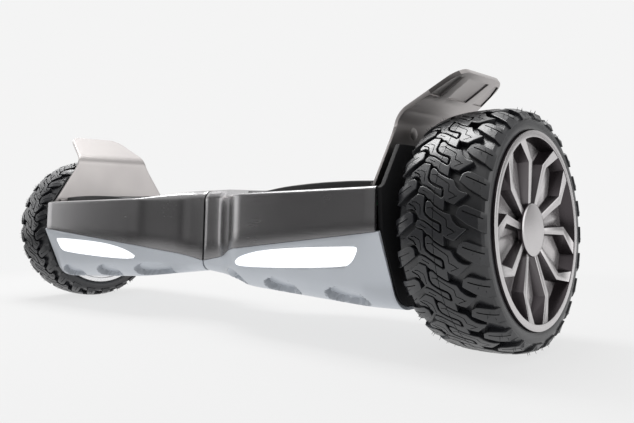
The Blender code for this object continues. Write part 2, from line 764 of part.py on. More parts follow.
def make_chassis():
    deck = plate("right_frame", both_signs(inset_outline(PLATE_OUTLINE)), PLATE_TOP - PLATE_BOTTOM)
    frame = placed(deck, Matrix.Translation((0, 0, PLATE_BOTTOM)))
    relief = rod_profile(HUB_RADIUS, HUB_END - 5 * MM, HUB_END + RELIEF_LENGTH)
    cut(frame, along_x(turned("relief", relief, PIVOT_SIDES)))
    hub = along_x(turned("hub", rod_profile(HUB_RADIUS, HUB_START, HUB_END), PIVOT_SIDES))
    saddle = box("saddle", (SADDLE_START, -SADDLE_HALF, PLATE_TOP - 1 * MM),
                 (SADDLE_END + 1 * MM, SADDLE_HALF, AXLE_HEIGHT - SEAT_GAP))
    end_plate = box("end", (SADDLE_END, -56 * MM, AXLE_HEIGHT - 46 * MM),
                    (END_PLATE_OUTER, 56 * MM, AXLE_HEIGHT + 28 * MM))
    join(frame, hub, saddle, end_plate)
    for side in (-1, 1):
        low, high = sorted((side * 46 * MM, side * 52 * MM))
        join(frame, box("rib", (78 * MM, low, PLATE_TOP - 1 * MM), (SADDLE_END + 1 * MM, high, PLATE_TOP + 10 * MM)))
        for x in BOARD_POST_X:
            join(frame, post("post", x, side * BOARD_POST_Y, PLATE_TOP - 1 * MM, SENSOR_BOARD_Z - SEAT_GAP,
                             4 * MM, 6))
    cut(frame, along_x(turned("axle_hole", rod_profile(AXLE_RADIUS + SEAT_GAP, SADDLE_START - 2 * MM,
                                                       END_PLATE_OUTER + 2 * MM), AXLE_SIDES)))
    return frame


def bored(frame, name, radius):
    """The same frame with its pivot hub bored."""
    result = copy_of(frame, name)
    bore = rod_profile(radius + SEAT_GAP, HUB_START - 5 * MM, HUB_END + 5 * MM)
    return cut(result, along_x(turned("bore", bore, PIVOT_SIDES)))


def make_axle_clamp():
    clamp = box("right_axle_clamp", (SADDLE_START, -SADDLE_HALF, AXLE_HEIGHT + SEAT_GAP),
                (SADDLE_END - 1 * MM, SADDLE_HALF, CLAMP_TOP))
    clamp = bevelled(clamp, 3 * MM)
    hole = rod_profile(AXLE_RADIUS + SEAT_GAP, SADDLE_START - 2 * MM, SADDLE_END + 2 * MM)
    return cut(clamp, along_x(turned("hole", hole, AXLE_SIDES)))


def make_sensor_board():
    half, low = SENSOR_BOARD_HALF, SENSOR_BOARD_Z
    board = box("right_sensor_board", (BOARD_POST_X[0] - 7 * MM, -half, low),
                (BOARD_POST_X[1] + 7 * MM, half, low + 1.6 * MM))
    for share in PLUNGER_SHARES:
        x = flank(share)
        join(board, box("switch", (x - 9 * MM, -7 * MM, low + 1 * MM), (x + 9 * MM, 7 * MM, SWITCH_TOP)))
    return board


def make_lamp_board():
    """A strip of lamps behind the lens, on feet that reach the lens."""
    ends = [(flank(share), AXLE_HEIGHT + z * MM) for share, z in LAMP_BOARD_ENDS]
    back = 10.0 * MM
    (x0, z0), (x1, z1) = ends
    y0, y1 = -lower_wall_y(x0, z0) + back, -lower_wall_y(x1, z1) + back
    direction = Vector((x1 - x0, y1 - y0, z1 - z0))
    length = direction.length
    board = box("right_lamp_board", (0.0, 0.0, -5 * MM), (length, 1.6 * MM, 5 * MM))
    for share in (0.06, 0.35, 0.64, 0.94):
        middle = length * share
        reach = back - SHELL_WALL - LAMP_GAP
        join(board, box("lamp", (middle - 3 * MM, -reach, -2.5 * MM), (middle + 3 * MM, 0.4 * MM, 2.5 * MM)))
    across = direction.normalized()
    side = across.cross(Vector((0, 0, 1))).normalized() * -1.0
    matrix = Matrix((across, side, across.cross(side))).transposed().to_4x4()
    matrix.translation = Vector((x0, y0, z0))
    return placed(board, matrix)


def make_battery():
    start, end = COVER_POSTS[0][0], COVER_POSTS[1][0] - 10 * MM
    low = bottom_height(start) + SHELL_WALL + 2 * SEAT_GAP
    battery = box("battery_pack", (-end, -BATTERY_HALF, low), (-start, BATTERY_HALF, PLATE_BOTTOM - SEAT_GAP))
    return bevelled(battery, BATTERY_BEVEL, 2)


def make_control_board():
    low = PLATE_TOP + 5 * MM
    start, end = flank(0.145), BOARD_POST_X[1] - 14 * MM
    board = box("control_board", (start, -42 * MM, low), (end, 18 * MM, low + 1.6 * MM))
    for x in (start + 6 * MM, end - 6 * MM):
        for y in (-36 * MM, 12 * MM):
            join(board, post("standoff", x, y, PLATE_TOP + SEAT_GAP, low + 0.5 * MM, 3 * MM, 6))
    for k in range(4):
        x = flank(0.235 + 0.09 * k)
        join(board, box("connector", (x, -40 * MM, low + 1 * MM), (x + 12 * MM, -31 * MM, low + 9 * MM)))
    for share in (0.626, 0.536):
        join(board, post("capacitor", flank(share), -12 * MM, low + 1 * MM, low + 24 * MM, 7.5 * MM, 10))
    return board


def make_heat_sink():
    low = PLATE_TOP + SEAT_GAP
    start, end = flank(0.195), flank(0.686)
    sink = box("heat_sink", (start, 18.3 * MM, low), (end, 42 * MM, low + 5 * MM))
    for k in range(4):
        y = (19.3 + 6.4 * k) * MM
        join(sink, box("fin", (start, y, low + 4 * MM), (end, y + 1.8 * MM, low + 21 * MM)))
    return sink


def tube_along(name, points, radius):
    """A round cable through its route's points, read from a smooth curve."""
    guide = [Vector(p) for p in points]
    padded = [guide[0] * 2 - guide[1]] + guide + [guide[-1] * 2 - guide[-2]]
    smooth = []
    for a, b, c, d in zip(padded, padded[1:], padded[2:], padded[3:]):
        for k in range(2):
            t = k / 2
            smooth.append(0.5 * ((2 * b) + (c - a) * t + (2 * a - 5 * b + 4 * c - d) * t ** 2
                                 + (3 * b - a - 3 * c + d) * t ** 3))
    smooth.append(guide[-1])
    curve = bpy.data.curves.new(name, "CURVE")
    curve.dimensions = "3D"
    curve.bevel_depth = radius
    curve.bevel_resolution = 1
    curve.use_fill_caps = True
    spline = curve.splines.new("POLY")
    spline.points.add(len(smooth) - 1)
    for point, place in zip(spline.points, smooth):
        point.co = (*place, 1.0)
    return bake(object_from(name, curve))


def cable_route(points, end):
    """A route from the axle's inner end to another place, in shares of the way between them."""
    start = SADDLE_START - 4.0 * MM - SEAT_GAP
    return [(start + share * (end - start), y * MM, AXLE_HEIGHT + z * MM) for share, y, z in points]


# Centre pivot

def make_pivot():
    tube = along_x(turned("pivot_tube", ring_profile(TUBE_BORE, TUBE_RADIUS, -64 * MM, 72 * MM), PIVOT_SIDES))
    bore = (TUBE_RADIUS + SEAT_GAP) / math.cos(math.pi / PIVOT_SIDES)
    flange, sleeve = BUSH_RADIUS + 4 * MM, 16 * MM
    inner_face = HUB_START - SEAT_GAP
    inner = [(BUSH_RADIUS, HUB_START + sleeve), (BUSH_RADIUS, inner_face), (flange, inner_face),
             (flange, inner_face - BUSH_FLANGE), (bore, inner_face - BUSH_FLANGE), (bore, HUB_START + sleeve)]
    outer_face = HUB_END + SEAT_GAP
    outer = [(flange, outer_face + BUSH_FLANGE), (flange, outer_face), (BUSH_RADIUS, outer_face),
             (BUSH_RADIUS, HUB_END - sleeve), (bore, HUB_END - sleeve), (bore, outer_face + BUSH_FLANGE)]
    bushes = [along_x(turned("pivot_bush_inner", inner, PIVOT_SIDES)),
              along_x(turned("pivot_bush_outer", outer, PIVOT_SIDES))]
    start = outer_face + BUSH_FLANGE + SEAT_GAP
    collar = turned("pivot_collar", ring_profile(TUBE_RADIUS + SEAT_GAP, COLLAR_RADIUS, start,
                                                 start + COLLAR_LENGTH), PIVOT_SIDES)
    seal = turned("centre_seal", ring_profile(TUBE_RADIUS + SEAT_GAP, 44 * MM, -0.9 * MM, 0.9 * MM), PIVOT_SIDES)
    cable, plug = 4.5 * MM, 9.0 * MM
    grommet = TUBE_BORE * math.cos(math.pi / PIVOT_SIDES) - SEAT_GAP
    profile = [(0, 92), (plug / MM, 92), (plug / MM, 76), (cable / MM, 74), (cable / MM, 64),
               (grommet / MM, 64), (grommet / MM, 58), (cable / MM, 58), (cable / MM, -54),
               (grommet / MM, -54), (grommet / MM, -60), (cable / MM, -60), (cable / MM, -66),
               (plug / MM, -68), (plug / MM, -HARNESS_PLUG_END / MM), (0, -HARNESS_PLUG_END / MM)]
    harness = turned("centre_harness", [(r * MM, h * MM) for r, h in profile], 8)
    return [tube] + bushes + [along_x(collar), along_x(seal), along_x(harness)]


# Wheel and motor, modelled about Z and laid along X at the wheel's middle plane

def on_wheel(obj):
    return along_x(obj, HALF_TRACK)


def make_axle():
    axle = turned("right_motor_axle", rod_profile(AXLE_RADIUS, AXLE_INNER, AXLE_OUTER), AXLE_SIDES)
    return on_wheel(axle)


def make_stator():
    """Toothed core: each tooth widens from its root to its shoe."""
    pitch = 2 * math.pi / STATOR_TEETH
    outline = []
    for tooth in range(STATOR_TEETH):
        middle = tooth * pitch
        for radius, share in ((STATOR_ROOT, -0.24), (STATOR_RADIUS, -0.40), (STATOR_RADIUS, 0.40),
                              (STATOR_ROOT, 0.24)):
            angle = middle + pitch * share
            outline.append((radius * math.cos(angle), radius * math.sin(angle)))
    low, high = STATOR_SPAN
    hole = circle_points(AXLE_RADIUS + SEAT_GAP, AXLE_SIDES)
    stator = plate("right_stator", outline, high - low, [hole])
    placed(stator, Matrix.Translation((0, 0, low)))
    return on_wheel(stator)


def make_magnet_ring():
    low, high = STATOR_SPAN
    profile = ring_profile(MAGNET_RADIUS, MAGNET_RADIUS + MAGNET_THICKNESS, low - 1 * MM, high + 1 * MM)
    return on_wheel(turned("right_magnet_ring", profile, MOTOR_SIDES))


def make_motor_shell():
    inside = MAGNET_RADIUS + MAGNET_THICKNESS + SEAT_GAP
    seat = BEARING_RADIUS + SEAT_GAP
    profile = [(RIM_RADIUS, SHELL_OUTER_H), (RIM_RADIUS, SHELL_INNER_H),
               (SIDE_COVER_RADIUS, SHELL_INNER_H), (SIDE_COVER_RADIUS, COVER_SEAT_H), (inside, COVER_SEAT_H),
               (inside, SHELL_WALL_H), (seat + BOSS_WALL, SHELL_WALL_H),
               (seat + BOSS_WALL, SHELL_OUTER_H - BEARING_WIDTH), (seat, SHELL_OUTER_H - BEARING_WIDTH),
               (seat, SHELL_OUTER_H)]
    return on_wheel(turned("right_motor_shell", profile, MOTOR_SIDES))


def make_side_cover():
    seat = BEARING_RADIUS + SEAT_GAP
    outer = SIDE_COVER_RADIUS - 2 * SEAT_GAP
    face = SHELL_INNER_H + SEAT_GAP
    back = COVER_SEAT_H - SEAT_GAP
    profile = [(outer, back), (outer, face), (seat, face), (seat, face + BEARING_WIDTH),
               (seat + BOSS_WALL, face + BEARING_WIDTH), (seat + BOSS_WALL, back)]
    return on_wheel(turned("right_side_cover", profile, MOTOR_SIDES))


def make_bearings():
    bearings = []
    width = BEARING_WIDTH - SEAT_GAP
    for name, low in (("right_bearing_outer", SHELL_OUTER_H - width), ("right_bearing_inner", SHELL_INNER_H)):
        profile = ring_profile(AXLE_RADIUS + SEAT_GAP, BEARING_RADIUS, low, low + width)
        bearings.append(on_wheel(turned(name, profile, AXLE_SIDES)))
    return bearings


def make_rim_cover():
    """Dished wheel cover: a ring, a floor, and five pairs of kinked spokes that fall to the hub."""
    profile = [(0.0, RIM_FLOOR), (RIM_RING, RIM_FLOOR), (RIM_RING + 0.4 * MM, RIM_FACE),
               (RIM_RADIUS, RIM_FACE), (RIM_RADIUS, RIM_BACK), (0.0, RIM_BACK)]
    cover = turned("right_rim_cover", profile, RIM_SIDES)
    for pair in range(SPOKE_PAIRS):
        angle = SPOKE_PHASE + pair * 2 * math.pi / SPOKE_PAIRS
        for side in (-1, 1):
            outline = [(u * MM, side * v * MM) for u, v in SPOKE_OUTLINE]
            spoke = plate("spoke", outline, RIM_FACE - 0.2 * MM - RIM_FLOOR + 1 * MM)
            turn = Matrix.Rotation(angle, 4, "Z")
            join(cover, placed(spoke, turn @ Matrix.Translation((0, 0, RIM_FLOOR - 1 * MM))))
    dish = [(0.0, RIM_FACE + 20 * MM), (RIM_RING - 0.6 * MM, RIM_FACE + 20 * MM),
            (RIM_RING - 0.6 * MM, RIM_FACE - 0.1 * MM), (CAP_RADIUS, SPOKE_HUB_FACE), (0.0, SPOKE_HUB_FACE)]
    cut(cover, turned("dish", dish, RIM_SIDES))
    boss = CAP_RADIUS - 6 * MM
    cut(cover, turned("cap_seat", rod_profile(boss + SEAT_GAP, RIM_FLOOR + SEAT_GAP, RIM_FACE), AXLE_SIDES))
    return on_wheel(spoke_plane(cover))


def spoke_plane(obj):
    """Turn a wheel piece drawn in (y, z) so that its first axis lies along +Y on the wheel."""
    return placed(obj, Matrix.Rotation(math.pi / 2, 4, "Z"))


def make_hub_cap():
    boss = CAP_RADIUS - 6 * MM
    base = RIM_FLOOR + 2 * SEAT_GAP
    profile = [(0.0, CAP_FACE), (CAP_RADIUS - 0.8 * MM, CAP_FACE), (CAP_RADIUS, CAP_FACE - 0.8 * MM),
               (CAP_RADIUS, CAP_FACE - CAP_THICKNESS + 1.4 * MM), (boss, CAP_FACE - CAP_THICKNESS + 1.4 * MM),
               (boss, base), (0.0, base)]
    return on_wheel(turned("right_hub_cap", profile, CAP_SIDES))


def tread_skew(height):
    """How far the tread is turned at a place across the tyre, in degrees."""
    rows = [(row[0] * TYRE_HALF_WIDTH, row[2]) for row in TREAD_ROWS]
    if height >= rows[0][0]:
        return rows[0][1]
    for (h0, a0), (h1, a1) in zip(rows, rows[1:]):
        if height >= h1:
            return a0 + (a1 - a0) * (h0 - height) / (h0 - h1)
    return rows[-1][1]


def make_tyre():
    """Solid rubber tyre turned from one profile, with tread blocks raised from its crown."""
    base = WHEEL_RADIUS - TREAD_DEPTH
    rows = [(base - drop * MM, share * TYRE_HALF_WIDTH) for share, drop, _ in TREAD_ROWS]
    bead = TYRE_HALF_WIDTH - 1.6 * MM
    profile = [(BEAD_RADIUS, bead)] + rows + [(BEAD_RADIUS, -bead)]
    columns = 2 * TREAD_PITCHES
    tyre = turned("right_tyre", profile, columns)
    step = 2 * math.pi / columns
    shift = step * (2 * TREAD_BLOCK_SHARE - 1)
    start = -math.pi / 2 - step * TREAD_BLOCK_SHARE
    bm = bmesh.new()
    bm.from_mesh(tyre.data)
    column_of = {}
    for vert in bm.verts:
        radius = math.hypot(vert.co.x, vert.co.y)
        column = round(math.atan2(vert.co.y, vert.co.x) / step) % columns
        skew = math.radians(tread_skew(vert.co.z)) if radius > BEAD_RADIUS + 1 * MM else 0.0
        angle = start + column * step + (shift if column % 2 else 0.0) + skew
        column_of[vert] = column
        vert.co = (radius * math.cos(angle), radius * math.sin(angle), vert.co.z)
    block_strips = [(rows[k][1], rows[k + 1][1]) for k in (0, 1, 3, 4)]
    blocks = []
    for face in bm.faces:
        heights = [vert.co.z for vert in face.verts]
        used = {column_of[vert] for vert in face.verts}
        low, high = min(used), max(used)
        outside = min(math.hypot(v.co.x, v.co.y) for v in face.verts) > rows[0][0] - 0.1 * MM
        in_block = high - low == 1 and low % 2 == 0
        for top, bottom in block_strips:
            matches = abs(max(heights) - top) < 0.1 * MM and abs(min(heights) - bottom) < 0.1 * MM
            if outside and in_block and matches:
                blocks.append(face)
    raised = bmesh.ops.extrude_discrete_faces(bm, faces=blocks)["faces"]
    for face in raised:
        centre = face.calc_center_median()
        for vert in face.verts:
            drawn = centre + (vert.co - centre) * BLOCK_LENGTH_SHARE
            drawn.z = centre.z + (vert.co.z - centre.z) * BLOCK_WIDTH_SHARE
            raised_to = math.hypot(vert.co.x, vert.co.y) + TREAD_DEPTH
            scale = raised_to / math.hypot(drawn.x, drawn.y)
            vert.co = (drawn.x * scale, drawn.y * scale, drawn.z)
    stand_on_block(bm)
    bmesh.ops.recalc_face_normals(bm, faces=bm.faces)
    bm.to_mesh(tyre.data)
    bm.free()
    return on_wheel(tyre)


def stand_on_block(bm):
    """Turn the tyre so that an outermost corner of a block points straight down."""
    crown = max(math.hypot(vert.co.x, vert.co.y) for vert in bm.verts)
    corners = [vert for vert in bm.verts if math.hypot(vert.co.x, vert.co.y) > crown - 0.01 * MM]
    lowest = max(corners, key=lambda vert: vert.co.x)
    turn = -math.atan2(lowest.co.y, lowest.co.x)
    bmesh.ops.rotate(bm, cent=(0, 0, 0), matrix=Matrix.Rotation(turn, 3, "Z"), verts=bm.verts)


# Button and charging port

def wall_frame(x, z):
    """Frame on the lower shell's rear wall: Z outwards, X along the board."""
    here = Vector((x, lower_wall_y(x, z), z))
    along = (Vector((x + MM, lower_wall_y(x + MM, z), z)) - here).normalized()
    up = (Vector((x, lower_wall_y(x, z + MM), z + MM)) - here).normalized()
    outward = up.cross(along).normalized()
    across = outward.cross(along).normalized()
    matrix = Matrix((along, across, outward)).transposed().to_4x4()
    matrix.translation = here
    return matrix


def flush_sleeve(name, bore):
    """A cup with a flange that stands on the wall, open outwards."""
    outer = bore + SLEEVE_WALL
    profile = [(0.0, -SLEEVE_DEPTH + 2 * MM), (bore, -SLEEVE_DEPTH + 2 * MM), (bore, FLANGE_RISE),
               (FLANGE_RADIUS, FLANGE_RISE), (FLANGE_RADIUS, SEAT_GAP), (outer, SEAT_GAP),
               (outer, -SLEEVE_DEPTH), (0.0, -SLEEVE_DEPTH)]
    return turned(name, profile, PORT_SIDES)


def make_button(cover):
    frame = wall_frame(BUTTON_X, PORT_Z)
    bore = BUTTON_RADIUS + SEAT_GAP
    hole = turned("hole", rod_profile(bore + SLEEVE_WALL + SEAT_GAP, -12 * MM, 6 * MM), PORT_SIDES)
    cut(cover, placed(hole, frame))
    housing = placed(flush_sleeve("button_housing", bore), frame)
    profile = [(0.0, FLANGE_RISE + 1.6 * MM), (BUTTON_RADIUS - 1 * MM, FLANGE_RISE + 1.6 * MM),
               (BUTTON_RADIUS, FLANGE_RISE + 0.8 * MM), (BUTTON_RADIUS, -5 * MM), (0.0, -5 * MM)]
    button = placed(turned("power_button", profile, PORT_SIDES), frame)
    return housing, button


def make_port(cover):
    frame = wall_frame(PORT_X, PORT_Z)
    hole = turned("hole", rod_profile(PORT_BORE + SLEEVE_WALL + SEAT_GAP, -12 * MM, 6 * MM), PORT_SIDES)
    cut(cover, placed(hole, frame))
    socket = flush_sleeve("charge_socket", PORT_BORE)
    for k in range(3):
        angle = math.pi / 2 + k * 2 * math.pi / 3
        x, y = 3.4 * MM * math.cos(angle), 3.4 * MM * math.sin(angle)
        join(socket, post("pin", x, y, -SLEEVE_DEPTH + 1 * MM, -7 * MM, 0.9 * MM, 6))
    join(socket, box("lug", (-5 * MM, -FLANGE_RADIUS - 3 * MM, SEAT_GAP), (5 * MM, -FLANGE_RADIUS + 2 * MM,
                                                                            FLANGE_RISE)))
    lid = turned("charge_cap", [(0.0, FLANGE_RISE + SEAT_GAP + CAP_LID_THICKNESS),
                                (FLANGE_RADIUS - 2 * MM, FLANGE_RISE + SEAT_GAP + CAP_LID_THICKNESS),
                                (FLANGE_RADIUS - 1 * MM, FLANGE_RISE + SEAT_GAP + CAP_LID_THICKNESS - 1 * MM),
                                (FLANGE_RADIUS - 1 * MM, FLANGE_RISE + SEAT_GAP),
                                (0.0, FLANGE_RISE + SEAT_GAP)], PORT_SIDES)
    strap = box("strap", (-4 * MM, -HINGE_REACH - 0.8 * MM, STRAP_BOTTOM),
                (4 * MM, 0.0, STRAP_BOTTOM + STRAP_THICKNESS))
    join(lid, strap)
    return placed(socket, frame), placed(lid, frame)


# Materials: colour, roughness, metallic

FINISHES = {
    "gunmetal": ((0.085, 0.083, 0.085), 0.42, 0.75),
    "silver_plastic": ((0.42, 0.45, 0.49), 0.45, 0.15),
    "fender_grey": ((0.33, 0.31, 0.30), 0.40, 0.35),
    "black_plastic": ((0.012, 0.012, 0.013), 0.50, 0.0),
    "mat_rubber": ((0.015, 0.015, 0.015), 0.80, 0.0),
    "tyre_rubber": ((0.045, 0.045, 0.048), 0.62, 0.0),
    "lens_white": ((0.92, 0.94, 0.96), 0.20, 0.0),
    "rim_grey": ((0.36, 0.34, 0.34), 0.38, 0.55),
    "cast_alloy": ((0.50, 0.50, 0.50), 0.55, 0.8),
    "steel": ((0.55, 0.55, 0.56), 0.35, 1.0),
    "copper": ((0.50, 0.22, 0.10), 0.45, 0.7),
    "board_green": ((0.02, 0.13, 0.06), 0.50, 0.0),
    "battery_blue": ((0.03, 0.07, 0.22), 0.45, 0.0),
    "bush_white": ((0.75, 0.74, 0.70), 0.50, 0.0),
}

FINISH_OF = {
    "upper_cover": "gunmetal", "lower_cover": "silver_plastic", "fender": "fender_grey",
    "wheel_arch": "black_plastic", "foot_mat": "mat_rubber", "lamp_lens": "lens_white",
    "lamp_board": "board_green", "sensor_board": "board_green", "control_board": "board_green",
    "frame": "cast_alloy", "axle_clamp": "cast_alloy", "motor_axle": "steel", "stator": "copper",
    "magnet_ring": "steel", "motor_shell": "cast_alloy", "side_cover": "cast_alloy",
    "bearing_outer": "steel", "bearing_inner": "steel", "rim_cover": "rim_grey", "hub_cap": "rim_grey",
    "tyre": "tyre_rubber", "motor_cable": "black_plastic", "battery_pack": "battery_blue",
    "heat_sink": "cast_alloy", "pivot_tube": "steel", "pivot_bush_inner": "bush_white",
    "pivot_bush_outer": "bush_white", "pivot_collar": "steel", "centre_seal": "mat_rubber",
    "centre_harness": "black_plastic", "button_housing": "black_plastic", "power_button": "steel",
    "charge_socket": "black_plastic", "charge_cap": "mat_rubber",
}


def finish(name):
    material = bpy.data.materials.get(name)
    if material:
        return material
    colour, roughness, metallic = FINISHES[name]
    material = bpy.data.materials.new(name)
    material.use_nodes = True
    shader = material.node_tree.nodes["Principled BSDF"]
    shader.inputs["Base Color"].default_value = (*colour, 1.0)
    shader.inputs["Roughness"].default_value = roughness
    shader.inputs["Metallic"].default_value = metallic
    material.diffuse_color = (*colour, 1.0)
    return material


def dress(obj):
    """Give a piece its own finish and shade its round faces smooth."""
    key = obj.name.removeprefix("left_").removeprefix("right_")
    material = finish(FINISH_OF[key])
    obj.data.materials.clear()
    obj.data.materials.append(material)
    for polygon in obj.data.polygons:
        polygon.material_index = 0
    obj.data.shade_smooth()
    obj.data.set_sharp_from_angle(angle=math.radians(32))


def axis_marker(name, place, parent=None):
    """An empty on a joint's axis that carries what moves about it."""
    marker = bpy.data.objects.new(name, None)
    marker.empty_display_size = 20 * MM
    AXES.objects.link(marker)
    marker.location = Vector(place)
    if parent:
        marker.parent = parent
        marker.location = Vector(place) - parent.matrix_world.translation
    bpy.context.view_layer.update()
    return marker


def carry(marker, objects):
    """Move the origins of the pieces to the marker and parent them to it."""
    place = marker.matrix_world.translation
    for obj in objects:
        obj.data.transform(Matrix.Translation(-place))
        obj.parent = marker
        obj.location = (0.0, 0.0, 0.0)


def build():
    lower, lens = make_lower_cover()
    left_lower = mirrored(lower, "left_lower_cover")
    button_housing, button = make_button(lower)
    socket, lid = make_port(lower)
    frame = make_chassis()
    halves = {"right": [], "left": []}
    wheels = {"right": [], "left": []}
    mats = {"right": [], "left": []}

    right_frame = bored(frame, "right_frame_bored", BUSH_RADIUS)
    left_frame = bored(frame, "left_frame_bored", TUBE_RADIUS)
    bpy.data.objects.remove(frame, do_unlink=True)
    right_frame.name = "right_frame"
    left_half_frame = mirrored(left_frame, "left_frame")
    bpy.data.objects.remove(left_frame, do_unlink=True)

    paired = [make_upper_cover(), make_fender(), make_liner(), lens, make_lamp_board(), make_sensor_board(),
              make_axle_clamp(), make_axle(), make_stator()]
    turning = [make_magnet_ring(), make_motor_shell(), make_side_cover(), *make_bearings(), make_rim_cover(),
               make_hub_cap(), make_tyre()]
    right_cable = tube_along("right_motor_cable", cable_route(CABLE_TO_BOARD, flank(0.536)), CABLE_RADIUS)
    plug_cable = tube_along("cable", cable_route(CABLE_TO_PLUG, HARNESS_PLUG_END + SEAT_GAP), CABLE_RADIUS)
    left_cable = mirrored(plug_cable, "left_motor_cable")
    bpy.data.objects.remove(plug_cable, do_unlink=True)
    mat = make_mat()

    for obj in paired:
        halves["right"].append(obj)
        halves["left"].append(mirrored(obj, obj.name.replace("right_", "left_")))
    for obj in turning:
        wheels["right"].append(obj)
        wheels["left"].append(half_turned(obj, obj.name.replace("right_", "left_")))
    mats["right"].append(mat)
    mats["left"].append(mirrored(mat, "left_foot_mat"))

    pivot = {obj.name: obj for obj in make_pivot()}
    bushes = [pivot["pivot_bush_inner"], pivot["pivot_bush_outer"]]
    halves["right"] += [right_frame, lower, right_cable, button_housing, socket, make_control_board(),
                        make_heat_sink(), *bushes]
    halves["left"] += [left_half_frame, left_lower, left_cable, make_battery(), pivot["pivot_tube"],
                       pivot["pivot_collar"], pivot["centre_seal"], pivot["centre_harness"]]

    left_root = axis_marker("left_half", (0.0, 0.0, AXLE_HEIGHT))
    right_root = axis_marker("right_half", (0.0, 0.0, AXLE_HEIGHT), left_root)
    for side, sign, root in (("right", 1, right_root), ("left", -1, left_root)):
        carry(root, halves[side])
        hub = axis_marker(side + "_wheel_axis", (sign * HALF_TRACK, 0.0, AXLE_HEIGHT), root)
        carry(hub, wheels[side])
        mat_axis = axis_marker(side + "_mat_axis", (sign * 175 * MM, 0.0, MAT_BOTTOM), root)
        carry(mat_axis, mats[side])
    button_place = wall_frame(BUTTON_X, PORT_Z).translation
    carry(axis_marker("button_axis", button_place, right_root), [button])
    hinge = wall_frame(PORT_X, PORT_Z) @ Vector((0.0, -HINGE_REACH, STRAP_BOTTOM + STRAP_THICKNESS / 2))
    carry(axis_marker("charge_cap_axis", hinge, right_root), [lid])

    for obj in PARTS.objects:
        dress(obj)
    print("pieces", len(PARTS.objects),
          "triangles", sum(len(p.vertices) - 2 for o in PARTS.objects for p in o.data.polygons))


build()
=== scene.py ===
# %% [markdown]
# # A two-wheeled balance board in a plain studio
# The measured model gives every piece its place. This script builds the surfaces that the
# eye meets around it: lacquered shells, a deep treaded tyre, a spoked wheel cover and soft
# light on a white floor.

# %% Load the measured model
import math
import bpy
from mathutils import Matrix, Vector


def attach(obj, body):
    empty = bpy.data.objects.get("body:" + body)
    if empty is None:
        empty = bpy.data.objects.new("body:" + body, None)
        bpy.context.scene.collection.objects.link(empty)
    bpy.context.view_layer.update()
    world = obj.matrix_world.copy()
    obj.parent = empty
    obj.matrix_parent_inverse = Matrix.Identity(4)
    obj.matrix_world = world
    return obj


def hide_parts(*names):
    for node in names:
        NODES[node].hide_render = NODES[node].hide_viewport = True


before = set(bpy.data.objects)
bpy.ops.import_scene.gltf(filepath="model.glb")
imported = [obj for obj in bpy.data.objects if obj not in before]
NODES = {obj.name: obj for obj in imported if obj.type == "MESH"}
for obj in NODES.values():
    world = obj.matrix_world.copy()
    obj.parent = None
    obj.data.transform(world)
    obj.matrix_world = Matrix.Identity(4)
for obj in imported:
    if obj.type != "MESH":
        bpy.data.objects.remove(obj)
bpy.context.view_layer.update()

MM = 0.001

# %% [markdown]
# The camera comes first, so that every later look is judged from one place. The board is
# seen from low down beside its right wheel, through a slightly wide lens. The picture was
# cropped off centre, which is what the two shift values give back.

# %% Set the camera
CAMERA_PLACE = Vector((615.677, -568.326, 122.33)) * MM
TURN, TILT, ROLL = math.radians(45.743), math.radians(3.18), math.radians(-0.661)
PICTURE_WIDTH, PICTURE_HEIGHT, FOCAL_PIXELS = 634, 423, 659.015
LENS_CENTRE = (270.0, 179.754)


def axes_at(place, *axes):
    """A matrix that carries the three axes to these directions and the origin to a place."""
    matrix = Matrix(axes).transposed().to_4x4()
    matrix.translation = place
    return matrix


forward = Vector((-math.cos(TURN) * math.cos(TILT), math.sin(TURN) * math.cos(TILT), math.sin(TILT)))
level_right = Vector((math.sin(TURN), math.cos(TURN), 0.0))
level_up = level_right.cross(forward)
right = level_right * math.cos(ROLL) + level_up * math.sin(ROLL)
up = level_up * math.cos(ROLL) - level_right * math.sin(ROLL)
lens = bpy.data.cameras.new("camera")
lens.sensor_width, lens.clip_start = 36.0, 0.01
lens.lens = FOCAL_PIXELS * lens.sensor_width / PICTURE_WIDTH
lens.shift_x = (PICTURE_WIDTH / 2 - LENS_CENTRE[0]) / PICTURE_WIDTH
lens.shift_y = -(PICTURE_HEIGHT / 2 - LENS_CENTRE[1]) / PICTURE_WIDTH
camera = bpy.data.objects.new("camera", lens)
camera.matrix_world = axes_at(CAMERA_PLACE, right, up, -forward)
bpy.context.scene.collection.objects.link(camera)
bpy.context.scene.camera = camera
print("lens", round(lens.lens, 2), "mm")

# %% [markdown]
# Every material and the sky are node trees, and the same few nodes come back in all of
# them. These helpers add one node each. An input takes a plain value or another node's
# output, so a tree reads like a sum.

# %% Build the node helpers


def fill(node, inputs):
    """Set a node's inputs by name or number, each to a value or to another node's output."""
    for name, content in inputs.items():
        if isinstance(content, bpy.types.NodeSocket):
            node.id_data.links.new(content, node.inputs[name])
        else:
            node.inputs[name].default_value = content
    return node


def add_node(tree, kind, inputs=None, **settings):
    node = tree.nodes.new("ShaderNode" + kind)
    for key, value in settings.items():
        setattr(node, key, value)
    return fill(node, inputs or {})


def calc(tree, operation, *values):
    return add_node(tree, "Math", dict(enumerate(values)), operation=operation).outputs[0]


def ranged(tree, value, low, high, start=0.0, end=1.0, kind="LINEAR"):
    """A value that goes from start to end while its source goes from low to high."""
    return add_node(tree, "MapRange", {"Value": value, "From Min": low, "From Max": high, "To Min": start,
                                       "To Max": end}, interpolation_type=kind).outputs["Result"]


def mixed(tree, share, first, second):
    """The first colour where the share is 0 and the second where it is 1."""
    return add_node(tree, "Mix", {0: share, 6: first, 7: second}, data_type="RGBA").outputs[2]


def toward(tree, direction, aim):
    """The cosine between a direction and an aim, or a place's distance along the aim."""
    return add_node(tree, "VectorMath", {0: direction, 1: aim}, operation="DOT_PRODUCT").outputs["Value"]


